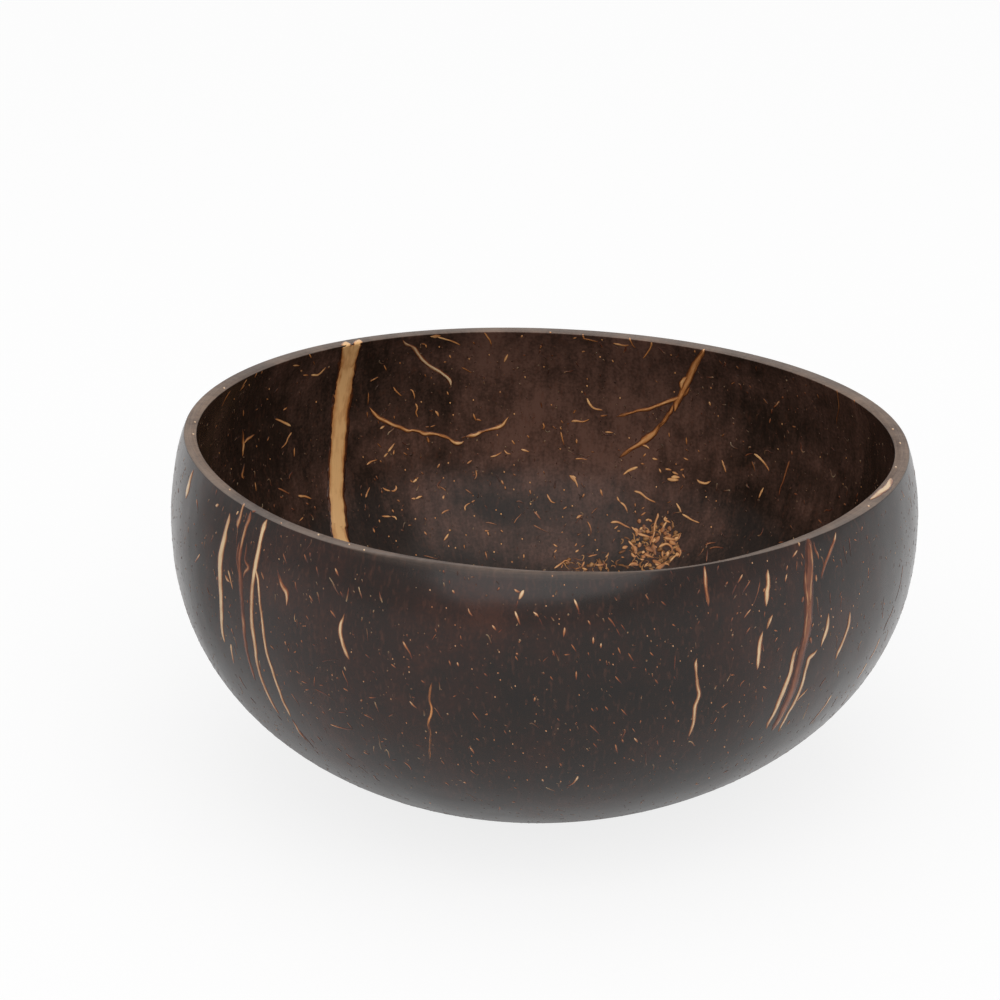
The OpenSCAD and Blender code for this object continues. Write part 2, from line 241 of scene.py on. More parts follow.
def add_mark(mesh, name, values):
    """A number or a vector kept on each point of a mesh."""
    vector = values.ndim == 2
    mark = mesh.attributes.new(name, "FLOAT_VECTOR" if vector else "FLOAT", "POINT")
    mark.data.foreach_set("vector" if vector else "value", values.astype(np.float32).ravel())


def add_piece(name, mesh, material, slot, *replaced):
    piece = bpy.data.objects.new(name, mesh)
    bpy.context.scene.collection.objects.link(piece)
    mesh.materials.clear()
    mesh.materials.append(material)
    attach(piece, "root")
    if replaced:
        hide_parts(*replaced)
    return piece


# The shell

COLUMNS = 440
WALL_RINGS, FOOT_RINGS, EDGE_RINGS, FLAT_RINGS = 84, 6, 7, 3
# The first ring's share of the way from the pole to the foot's end, and the least width that the
# outer half of the rim keeps beyond its edge
FIRST_RING = 0.04
LEAST_FLAT = 0.05

# Polar angle at which the ground foot ends
FOOT_ANGLE = math.degrees(math.acos(
    ((BELLY_H + POLISH - FOOT_SANDED) / (BELLY_H + FOOT_CUT)) ** (BASE_FULLNESS / 2)))


def shell_rings():
    """Climbs of the rings of each face, by turn, from the pole out to the middle of the rim."""
    turn = np.arange(COLUMNS) * 360 / COLUMNS
    corners = [wall(side, turn, rim_angle(side, turn)) for side in (OUTSIDE, INSIDE)]
    width = length_of(corners[0] - corners[1])
    outer_share = np.maximum(width * 0.5, edge_radius(OUTSIDE, turn) + LEAST_FLAT)
    faces = []
    for side in (OUTSIDE, INSIDE):
        top = rim_angle(side, turn)
        full = climb_length(side, turn, top)
        radius = edge_radius(side, turn)
        foot = FOOT_ANGLE / top
        low = np.linspace(FIRST_RING, 1, FOOT_RINGS)[:, None] * foot
        wall_share = np.linspace(0, 1, WALL_RINGS + 1)[1:, None]
        up = foot + (1 - radius / full - foot) * wall_share
        edge_share = np.linspace(-1, 1, EDGE_RINGS + 2)[1:, None]
        edge = 1 + edge_share * radius / full
        middle = outer_share if side == OUTSIDE else width - outer_share
        flat_share = np.linspace(0, 1, FLAT_RINGS + 1)[1:, None]
        flat = 1 + (radius + (middle - radius) * flat_share) / full
        faces.append(np.concatenate([low, up, edge, flat]))
    return turn, faces


# The nut's younger, redder shell: turn, climb, reach in degrees of turn and in climb, strength.
# Inside, the zones also paint sheen on the back wall, as they lift it into greyer pale stops
REDDER_AND_SHEEN_INSIDE = [(88, 0.86, 36, 0.3, 1.0), (135, 0.97, 25, 0.06, 0.5), (40, 0.95, 30, 0.1, 0.5),
               (66, 0.8, 17, 0.15, 1.3)]
WARM_OUTSIDE = [(-135, 0.88, 22, 0.14, 0.9), (-110, 0.7, 24, 0.3, 0.45), (-98, 0.92, 9, 0.08, 0.8),
                (-50, 0.85, 12, 0.2, 0.5), (60, 0.8, 40, 0.25, 0.6), (150, 0.6, 40, 0.3, 0.5)]


def warm_share(is_inside, turn, climb):
    share = np.zeros(turn.shape)
    for zones, here in ((REDDER_AND_SHEEN_INSIDE, is_inside > 0.5), (WARM_OUTSIDE, is_inside < 0.5)):
        for at_turn, at_climb, wide, high, strength in zones:
            off = (apart(turn, at_turn) / wide) ** 2 + ((climb - at_climb) / high) ** 2
            share = np.maximum(share, here * strength * np.exp(-off))
    return share


def rim_share(turn, climb):
    """How bare the sawn shell is, faint at the front. Towards the left and right ends it is raised
    further, which is painted light on the rim there.
    """
    # Painted light: the rim's colour grows paler towards its left and right ends
    pale = 0.7 + 0.3 * smooth_step(0.8, 0.97, np.abs(np.cos(np.radians(turn))))
    front = rounder_front(turn)
    step = smooth_step(0.999 - 0.012 * front, 1.002 + 0.006 * front, climb)
    return step * pale


def shell_part():
    turn, (outer, inner) = shell_rings()
    outside = skin(OUTSIDE, turn, outer)
    inside = skin(INSIDE, turn, inner)[-2::-1]
    rings = np.concatenate([outside, inside])
    turns = np.broadcast_to(turn, rings.shape[:2])
    climbs = np.concatenate([outer, inner[-2::-1]])
    arc = np.cumsum(length_of(np.diff(rings, axis=0, prepend=rings[:1])), 0)
    around = np.radians(turns)
    grain = np.stack([BELLY_R * np.cos(around), BELLY_R * np.sin(around), arc], -1)
    is_inside = np.concatenate([np.zeros(outer.shape), np.ones(inner[1:].shape)])
    return loft(rings, grain=grain, inside=is_inside, rim=rim_share(turns, climbs),
                warm=warm_share(is_inside, turns, climbs)), turns, climbs


shell, shell_turns, shell_climbs = shell_part()
shell_points, shell_faces, shell_marks = shell
SKIN = BVHTree.FromPolygons(shell_points.tolist(), shell_faces)
shell_mesh = make_mesh("half_shell", [shell])


# The camera

to_bowl = Vector((0, math.cos(CAMERA_RISE), -math.sin(CAMERA_RISE)))
above = Vector((0, math.sin(CAMERA_RISE), math.cos(CAMERA_RISE)))
CAMERA_AT = BOWL_MIDDLE - to_bowl * CAMERA_FAR
aim = BOWL_MIDDLE - Vector((1, 0, 0)) * AIM_LEFT + above * AIM_UP
AHEAD = (aim - CAMERA_AT).normalized()
UP = (above - AHEAD * above.dot(AHEAD)).normalized()
RIGHT = AHEAD.cross(UP)


def add_camera():
    data = bpy.data.cameras.new("photo_camera")
    data.sensor_width = SENSOR
    data.lens = SENSOR * FOCAL / PICTURE
    data.clip_start, data.clip_end = 0.01, 50
    camera = bpy.data.objects.new("photo_camera", data)
    turned = Matrix((RIGHT, UP, -AHEAD)).transposed().to_4x4()
    camera.matrix_world = Matrix.Translation(CAMERA_AT * MM) @ turned
    bpy.context.scene.collection.objects.link(camera)
    bpy.context.scene.camera = camera


add_camera()


# Slivers of fibre that lie on the skin

def hug(points, lift):
    """The skin's nearest points to the given ones, each raised off the skin."""
    placed = np.empty_like(points)
    for i, (point, height) in enumerate(zip(points.reshape(-1, 3), lift.ravel())):
        place, normal, _, _ = SKIN.find_nearest(Vector(point))
        placed.reshape(-1, 3)[i] = place + normal * height
    return placed


def smooth_route(rows, per_step=12):
    """Smooth curve through rows of numbers."""
    rows = np.asarray(rows, float)
    before = np.concatenate([rows[:1], rows[:-1]])[:-1]
    after = np.concatenate([rows[1:], rows[-1:]])[1:]
    here, there = rows[:-1], rows[1:]
    run = np.arange(per_step)[:, None, None] / per_step
    bend = before - 2.5 * here + 2 * there - after / 2
    twist = 3 * (here - there) + after - before
    curve = here + run * (there - before) / 2 + run ** 2 * bend + run ** 3 * twist / 2
    return np.concatenate([curve.transpose(1, 0, 2).reshape(-1, rows.shape[1]), rows[-1:]])


def evenly(rows, spacing):
    """Rows of x, y, z and more, taken at even steps of their length."""
    run = np.concatenate([[0], np.cumsum(length_of(np.diff(rows[:, :3], axis=0)))])
    steps = np.linspace(0, run[-1], max(int(run[-1] / spacing), 4) + 1)
    return np.stack([np.interp(steps, run, column) for column in rows.T], -1), steps


def waver(chance, steps, size):
    """Uneven line that swings between -1 and 1 about once in each size."""
    knots = np.arange(-1, steps[-1] / size + 3) * size
    return np.interp(steps, knots, chance.uniform(-1, 1, len(knots)))


# Section of a sliver: share of its half width and share of its height above the skin, and
# the two corners of its buried underside
TOP_SHARES = [(-1, -0.5), (-0.72, 0.75), (-0.25, 1), (0.25, 1), (0.72, 0.75), (1, -0.5)]
UNDER_SHARES = [(0.7, -3), (-0.7, -3)]
# How far a sliver strays from its line, and how long its waves are: those of its way, and the
# broad and the fine ones of its edges
WANDER, WANDER_WAVE = 0.04, 0.9
EDGE_WAVE, FINE_EDGE_WAVE = 1.3, 0.45
# Length of one of its faces
SLIVER_STEP = 0.22


def sliver(rows, seed, height, ragged, tip=1.2):
    """Part through rows of x, y, z, width and tone, with ragged edges and pointed ends."""
    chance = np.random.default_rng(int(seed * 2))
    rows, steps = evenly(rows, SLIVER_STEP)
    middle, width, tone = rows[:, :3], rows[:, 3], rows[:, 4]
    out = np.array([SKIN.find_nearest(Vector(p))[1] for p in middle])
    ahead = np.gradient(middle, axis=0)
    across = np.cross(ahead, out)
    across /= length_of(across)[:, None]
    from_end = np.minimum(steps, steps[-1] - steps)
    taper = np.clip(from_end / min(tip, steps[-1] * 0.4), 0.02, 1) ** 0.6
    sides = [taper * (1 + ragged * (waver(chance, steps, EDGE_WAVE)
                                    + 0.6 * waver(chance, steps, FINE_EDGE_WAVE)))
             for _ in range(2)]
    shares = np.array(TOP_SHARES + UNDER_SHARES)
    reach = np.where(shares[:, 0] < 0, sides[0][:, None], sides[1][:, None]) * shares[:, 0]
    sway = WANDER * waver(chance, steps, WANDER_WAVE)
    spread = reach * width[:, None] / 2 + sway[:, None]
    points = middle[:, None] + across[:, None] * spread[..., None]
    lift = height * shares[:, 1] * np.minimum(taper * 1.6, 1)[:, None]
    rings = hug(points, lift)
    run = np.broadcast_to(steps[:, None], spread.shape)
    seeds = np.full(spread.shape, seed * 7.3)
    edge = np.broadcast_to(np.abs(shares[:, 0]), spread.shape)
    ends = np.broadcast_to(1 - taper[:, None], spread.shape)
    return loft(rings, grain=np.stack([spread, run, seeds], -1), edge=np.maximum(edge, ends),
                tone=np.broadcast_to(tone[:, None], spread.shape))


# What the photograph shows is placed by its pixels, as they were read off, and lies where the camera
# sees the skin there. Widths are in millimetres. Tone 0 is the reddish brown of the fibre's
# sheath, 1 the cream of its core, and below 0 it dives under the polish

def seen(x, y):
    """Point of the skin at a pixel of the photograph."""
    way = AHEAD + RIGHT * ((x - PICTURE / 2) / FOCAL) - UP * ((y - PICTURE / 2) / FOCAL)
    return SKIN.ray_cast(CAMERA_AT, way.normalized())[0]


# How high strands, their sheaths and slips stand above the skin. A slip has one of four heights,
# so that where two cross, one lies over the other
STRAND_HEIGHT, SHEATH_HEIGHT = 0.07, 0.03
SLIP_HEIGHTS = [0.034, 0.04, 0.046, 0.052]
# Tone of the sheath, which is dark beside the fibre
SHEATH_TONE = 0.3


def traced(route):
    """Rows of x, y, z, width and tone of a route of pixels, widths and tones."""
    return np.array([(*seen(x, y), width, tone) for x, y, width, tone in smooth_route(route)])


def strand(route, seed, hidden):
    """A strand's dark sheath, which shows at both its sides, and the fibre in it."""
    rows = traced(route)
    if hidden:
        on = [(*skin(INSIDE, turn, climb), width, tone) for turn, climb, width, tone in hidden]
        rows = smooth_route(np.concatenate([rows[::6], on]))
    sheath = rows.copy()
    # A fine strand's sheath grows with it, and a broad strand's hardly does
    sheath[:, 3] += np.minimum(0.1 + 0.6 * rows[:, 3], 0.35 + 0.12 * rows[:, 3])
    sheath[:, 4] = SHEATH_TONE
    return [sliver(sheath, seed + 0.5, height=SHEATH_HEIGHT, ragged=0.1),
            sliver(rows, seed, height=STRAND_HEIGHT, ragged=0.06)]


def slip(pixels, width, head, tail, seed):
    """One slip through flat x, y pixels, widest near its head."""
    points = np.reshape(pixels, (-1, 2))
    share = np.linspace(0, 1, len(points))
    chance = np.random.default_rng(seed).uniform(-1, 1, 2)
    widths = width * (1 + 0.15 * chance[0]) * (1 - 0.35 * share)
    tones = head + (tail - head) * share + 0.15 * chance[1]
    rows = traced(np.column_stack([points, widths, tones]))
    return sliver(rows, seed, SLIP_HEIGHTS[seed % 4], ragged=0.18, tip=0.6)


# Each strand's way, as pixel x, pixel y, width and tone, with its side threads
STRANDS = {
    "inner_broad_strand": ("tan_fibre", [
        [(345.5, 341.5, 1.3, 1.1), (346.5, 346, 2, 1), (346, 356, 2.2, .8), (344, 372, 2, .7)],
        [(359.5, 339.5, 1.3, 1.1), (356.5, 346, 2, 1), (353, 357, 2, .8), (350, 370, 1.6, .7)],
        [(351.5, 345, 2.8, .9), (349.4, 355, 3.4, .85), (346.7, 370, 3.8, .9),
         (344.2, 386, 3.9, .95), (342, 400, 3.9, .85), (340, 415, 3.7, .85), (338.9, 430, 3.7, 1),
         (337.6, 450, 3.6, 1), (336.6, 470, 3.5, 1), (336, 490, 3.4, 1.05), (337.5, 512, 3.4, 1.1),
         (339.7, 534, 3.4, 1)]]),
    "inner_forked_strand": ("tan_fibre", [
        [(704, 349, .9, .9), (702.5, 353, .7, .35), (699, 358, .9, .55), (694.5, 365, 1.1, .7),
         (691.5, 372, 1.15, .65), (689, 379, 1.15, .5), (686, 385, 1, .45), (683, 391, 1, .4),
         (679, 399, .9, .5), (676, 405, .9, .65), (674.8, 412, .5, .7)],
        [(688, 376, .4, .5), (684, 380, .7, .7), (681.5, 384, .75, .75), (682, 391, .6, .3)],
        [(681, 396, .4, .4), (675, 399, .55, .6), (669, 401, .6, .65), (663, 403.5, .5, .65),
         (655, 406.5, .45, .55), (648, 409, .5, .5), (638, 410.5, .4, .45), (630, 413, .35, .45),
         (622, 415, .4, .3), (616, 417, .25, .1)],
        [(673, 404, .4, .4), (671, 411, .6, .6), (668, 415, .5, .25), (665, 420, .5, .3),
         (660, 425, .4, 0), (657, 429, .5, .35), (654, 433, .9, .6), (649, 437, 1.25, .75),
         (645, 440, 1.2, .75), (641, 443, .8, .65), (636, 446, .55, .5), (629, 450, .55, .35),
         (623, 455, .4, .2), (619, 458, .3, 0)],
        [(642, 445, .3, .6), (646, 446, .4, .8), (650, 449, .3, .5)],
        [(690, 386, .3, .1), (687, 392, .4, .4), (684, 397, .3, .2)]]),
    "inner_arched_strand": ("tan_fibre", [
        [(369.5, 407, .3, .5), (374, 413, .45, .7), (379, 418, .5, .6), (385, 421, .5, .7),
         (393, 425, .5, .8), (401, 427.5, .5, .55), (408, 430.5, .45, .7), (413, 430, .35, .6),
         (419, 431.5, .4, .5), (424, 434, .5, .7), (430, 433.5, .45, .8), (437, 434.5, .35, .6),
         (444, 436.5, .4, .4), (449, 438.5, .3, .5), (452, 441, .45, .7), (456, 443, .6, .85),
         (461, 442.8, .55, .95), (464, 441, .3, .8)],
        [(427, 436, .3, .3), (429, 443, .5, .5)],
        [(465, 437, .3, .2), (470, 435.8, .5, .8), (475, 435, .55, 1), (479, 433, .5, .9),
         (482, 431.5, .35, .3), (488, 429.8, .35, .6), (494, 428.5, .4, .7), (499, 427, .55, .95),
         (503, 424.5, .45, .9), (506, 420, .35, .8), (509, 416.5, .25, .6)]]),
    "inner_wavy_strand": ("pale_fibre", [
        [(402.5, 340, .25, .5), (406, 343.8, .35, .75), (411, 346, .3, .6), (415, 349, .5, .8),
         (419, 355, .45, .75), (424, 361, .5, .95), (430, 366, .45, .9), (437, 370, .5, 1),
         (443, 374, .45, 1.05), (448, 378, .55, 1.1), (450.5, 382, .65, 1.05), (451, 386, .6, 1)]]),
    "inner_side_strand": ("tan_fibre", [
        [(242.3, 428, .2, -.2), (243, 434, .3, .1), (243, 441, .5, .5), (243.6, 445, .6, .8),
         (243, 451, .5, .65), (242.5, 457, .45, .3)],
        [(243.6, 444, .4, .7), (247, 439.5, .45, .7), (251, 436.8, .35, .6), (255, 434, .2, .2)],
        [(244.5, 463, .3, .1), (243.3, 470, .35, .35), (242, 476, .5, .5), (244, 479, .35, .3)]]),
    "rim_strand": ("pale_fibre", [
        [(891, 478, .6, .7), (889, 484, .9, .9), (886, 488, 1.15, 1), (881, 491.5, 1.1, 1),
         (876, 495.5, .8, .9), (870, 500, .5, .6)]]),
    "left_edge_strand": ("pale_fibre", [
        [(194, 469, .5, .4), (191.5, 475, .8, .7), (189.7, 481, 1, .8), (188.3, 487, 1.5, 1),
         (186.8, 493, 1.4, 1), (185.6, 499, .8, .6)]]),
    "left_pale_strand": ("pale_fibre", [
        [(230, 513, .4, .6), (228.5, 521, .9, .7), (226, 530, 1, .8), (224.3, 539, 1.3, .95),
         (222, 548, 1.5, 1), (220.7, 556, 1.6, 1), (220, 566, 1.5, .95), (220, 576, 1.4, .9),
         (220.5, 586, 1.4, .9), (221, 596, 1.3, .95), (221.2, 606, 1.15, .9),
         (221.6, 616, 1.1, .95), (221.8, 625, .9, .95), (222.8, 634, .9, .9), (225, 643, .5, .6)],
        [(225, 574, .3, .4), (227, 579, .5, .6), (230, 582, .3, .5)],
        [(218, 577, .4, .2), (216.5, 580, .4, .1)]]),
    "left_brown_strand": ("brown_fibre", [
        [(251, 511, .8, .6), (249.3, 519, .75, .75), (246, 527, .7, .65), (243.5, 536, .6, .9),
         (241.5, 545, .6, .8), (240, 553, .7, .5), (239.5, 562, .7, .45), (240, 572, .8, .4),
         (240.5, 582, .9, .4), (241, 592, .9, .25), (242, 602, .9, .2), (242.5, 612, .9, .25),
         (243.5, 622, .9, .5), (244, 632, .85, .45), (245.3, 642, .8, .3), (247, 652, .7, .2),
         (249.5, 662, .6, .3), (252.3, 671, .6, .4), (255.5, 681, .4, .3)],
        [(244.3, 503, .5, 1), (242, 510, .5, .95), (240, 518, .7, .9), (238, 524, 1, .95),
         (238, 530, .4, .4)],
        [(239.5, 541, .3, .2), (238, 549, .45, .35), (236.6, 558, .3, .1), (238, 566, .4, .4),
         (239, 576, .35, .2)],
        [(247, 542, .2, 0), (246, 551, .3, .2), (245, 560, .3, .2), (248.5, 567.5, .5, .8),
         (245, 572, .4, .7), (243.3, 579, .3, .3)],
        [(252, 511, .7, .5), (256, 511.5, 1, .45)]]),
    "left_forked_strand": ("pale_fibre", [
        [(267.3, 519, .5, .8), (264.6, 525, 1, .95), (262, 533, .9, 1), (260, 542, .8, 1),
         (258.5, 550, .9, 1), (257, 558, .95, 1), (255.3, 567, .95, 1), (253.5, 578, .8, .85),
         (252, 590, .8, .75), (251.7, 602, .75, .7), (251.5, 612, .75, .75), (252, 624, .8, .85),
         (253.5, 636, .85, .75), (255.3, 647, .8, .75), (256.2, 657, .7, .75), (257.7, 666, .6, .7),
         (260.5, 676, .6, .6), (265, 688, .65, .6), (270, 699, .6, .6), (275, 708, .5, .5),
         (280, 715, .3, .3)],
        [(255.6, 569, .6, .9), (257.8, 579, .5, .9), (259, 592, .45, .8), (260, 604, .45, .7),
         (261.5, 614, .45, .7), (262.5, 624, .5, .8), (263.5, 634, .5, .8), (265, 644, .5, .85),
         (267, 654, .55, .7), (269.5, 662, .5, .8), (272.5, 671, .55, .8), (276, 682, .5, .85),
         (279.5, 691, .5, .8), (282.5, 700, .5, .7), (287, 709, .5, .8), (291, 717, .35, .6)],
        [(292, 719, .2, .2), (296, 726, .4, .5), (300, 733, .4, .5), (307, 741, .2, .1)],
        [(261, 571, .2, .3), (264, 580, .2, .2)]]),
    "left_short_strand": ("orange_fibre", [
        [(277, 569, .15, 0), (279, 576, .3, .1), (281, 583, .5, .8), (283.5, 588, .7, .7),
         (286, 592, .8, .8), (287, 598, .55, .8), (286.5, 606, .3, .7)]]),
    "front_left_strand": ("pale_fibre", [
        [(344.5, 613, .2, .4), (343, 618, .25, .5), (340.7, 624, .5, .9), (340, 630, .55, .95),
         (341, 637, .5, .9), (343, 645, .5, .85), (345.5, 652, .5, .8), (349.5, 660, .4, .3)]]),
    "front_low_strand": ("tan_fibre", [
        [(432, 682, .24, .1), (430.5, 690, .24, .2), (429.5, 697, .24, .35), (430, 702, .27, .45),
         (431.5, 708, .27, .55), (431, 714, .27, .5), (429, 720, .27, .35), (428.5, 725, .24, 0),
         (430, 732, .2, -.3), (430, 745, .18, -.4), (429.5, 760, .18, -.5)]]),
    "front_right_strand": ("pale_fibre", [
        [(697, 658, .3, .7), (695.7, 663, .5, .9), (696, 669, .35, .7), (696.6, 677, .3, .4),
         (697.4, 685, .4, .5), (699, 693, .5, .8), (697.5, 700, .45, .8), (695, 707, .5, .9),
         (694.3, 715, .45, .8), (693.5, 723, .4, .7), (690.8, 731, .4, .5), (688.6, 737, .3, .2)]]),
    "front_orange_strand": ("orange_fibre", [
        [(704.6, 565.4, .5, .5), (704.6, 568, .5, .6), (704.8, 572, .4, .7), (705.5, 582, .45, .7),
         (706.5, 592, .4, .5), (708, 600, .4, .4), (708.5, 607, .25, .1)]]),
    "right_upper_strand": ("pale_fibre", [
        [(767.7, 569, .4, .8), (768, 577, .6, .9), (768, 585, .65, .85), (767, 591, .8, 1),
         (766.6, 599, .7, 1), (766, 607, .4, .8)],
        [(765, 588, .3, .5), (763, 592, .3, .3)]]),
    "right_lower_strand": ("pale_fibre", [
        [(762.7, 631, .3, .8), (761, 638, .6, .85), (759.5, 646, .7, .95), (758.8, 654, .65, 1),
         (758, 662, .6, .9), (757.3, 670, .4, .3)],
        [(766.5, 630, .3, .1), (769, 623, .4, .8), (771.5, 617, .4, .9), (773, 614, .3, .5)]]),
    "right_brown_strand": ("brown_fibre", [
        [(808, 538, 1.2, .3), (809, 550, 1.5, .2), (809, 565, 1.6, .2), (808.5, 580, 1.9, .25),
         (809, 595, 1.9, .3), (808.5, 610, 1.9, .35), (808, 625, 1.8, .35), (805, 640, 1.7, .35),
         (801, 655, 1.7, .3), (797, 672, 1.8, .3), (793, 688, 1.8, .3), (787, 702, 1.7, .35),
         (781, 715, 1.4, .4), (776, 724, 1.2, .4), (771.5, 731, .7, .4)],
        [(807, 540, .5, .4), (810, 546, .5, .7), (811.5, 556, .5, .8), (812, 566, .5, .6),
         (811.5, 576, .5, .6), (810.5, 587, .6, .8), (810.5, 597, .6, .7), (809, 607, .6, .8),
         (810, 616, .45, .5), (811, 626, .35, .3)],
        [(805.5, 568, .3, .4), (805.3, 578, .5, .6), (806, 589, .5, .6), (807.5, 600, .6, .7),
         (807.5, 611, .6, .6), (806, 622, .6, .7), (805, 634, .6, .7), (803.5, 646, .5, .4),
         (801.5, 658, .4, .3)],
        [(789, 700, .3, .3), (785, 709, .45, .6), (781, 717, .5, .7), (776, 725, .5, .7),
         (771.8, 731, .4, .7)],
        [(813.5, 541, .3, .3), (815, 549, .3, .3), (817.6, 554, .35, .7), (818.8, 560, .3, .5)],
        [(816, 574, .3, .6), (816.3, 582, .45, .9)],
        [(803.5, 596, .4, .7), (802, 603, .4, .6)],
        [(810, 637, .5, .6), (811.5, 644, .3, .3)]]),
    "right_near_flank_strand": ("pale_fibre", [
        [(798, 646, .4, .3), (794.5, 652, .6, .7), (792.5, 661, .7, .9), (791, 670, .75, .9),
         (788.5, 678, .8, .9), (785.5, 686, .9, .9), (783, 692, 1, .95), (779.5, 700, .9, .9),
         (776.5, 708, .75, .9), (772.5, 716, .6, .9), (769, 722, .5, .7), (766, 729, .3, .3)]]),
    "right_far_flank_strand": ("pale_fibre", [
        [(817.5, 649, .3, .7), (814, 654, .5, .8), (809, 658.5, .8, .85), (807, 665, .6, .9),
         (805, 672, .5, .9), (803.3, 680, .6, .95), (801, 687, .65, .9), (798, 695, .7, .9),
         (795, 701, .7, .85), (792, 707, .6, .9), (788, 713, .5, .9), (784.5, 720, .5, .9),
         (780.5, 727, .4, .7), (778, 732, .3, .2)],
        [(808, 688, .25, .7), (804, 693, .3, .8), (799, 698, .3, .7), (796, 702, .3, .4)],
        [(790, 720, .3, .4), (787, 725, .3, .2)]]),
    "right_rim_strand": ("orange_fibre", [
        [(835.7, 532, .4, .9), (835, 538, .45, .9), (833.5, 543, .4, .4), (830.5, 550, .45, .5),
         (827.5, 558, .45, .4), (824.5, 566, .4, .3), (822.3, 573, .3, .2), (821, 580, .2, -.2)]]),
    "right_short_strand": ("pale_fibre", [
        [(828.5, 613, .3, .6), (828, 620, .6, .8), (827, 628, .75, 1), (825, 635, .75, 1),
         (822, 643, .4, .8), (820.5, 648, .3, .1)]]),
    "right_edge_strand": ("pale_fibre", [
        [(850, 611, .4, .6), (849.4, 619, .6, .75), (848, 627, .6, .7), (845, 636, .55, .8),
         (841.5, 645, .6, .7), (838.3, 652, .6, .9), (835, 660, .3, .6)]]),
}

# Where the front rim hides a strand's last route, it goes on as turn, climb, width and tone
HIDDEN_ENDS = {"inner_broad_strand": [(132.6, 0.42, 3.3, 0.9), (133.2, 0.385, 2.6, 0.8)]}

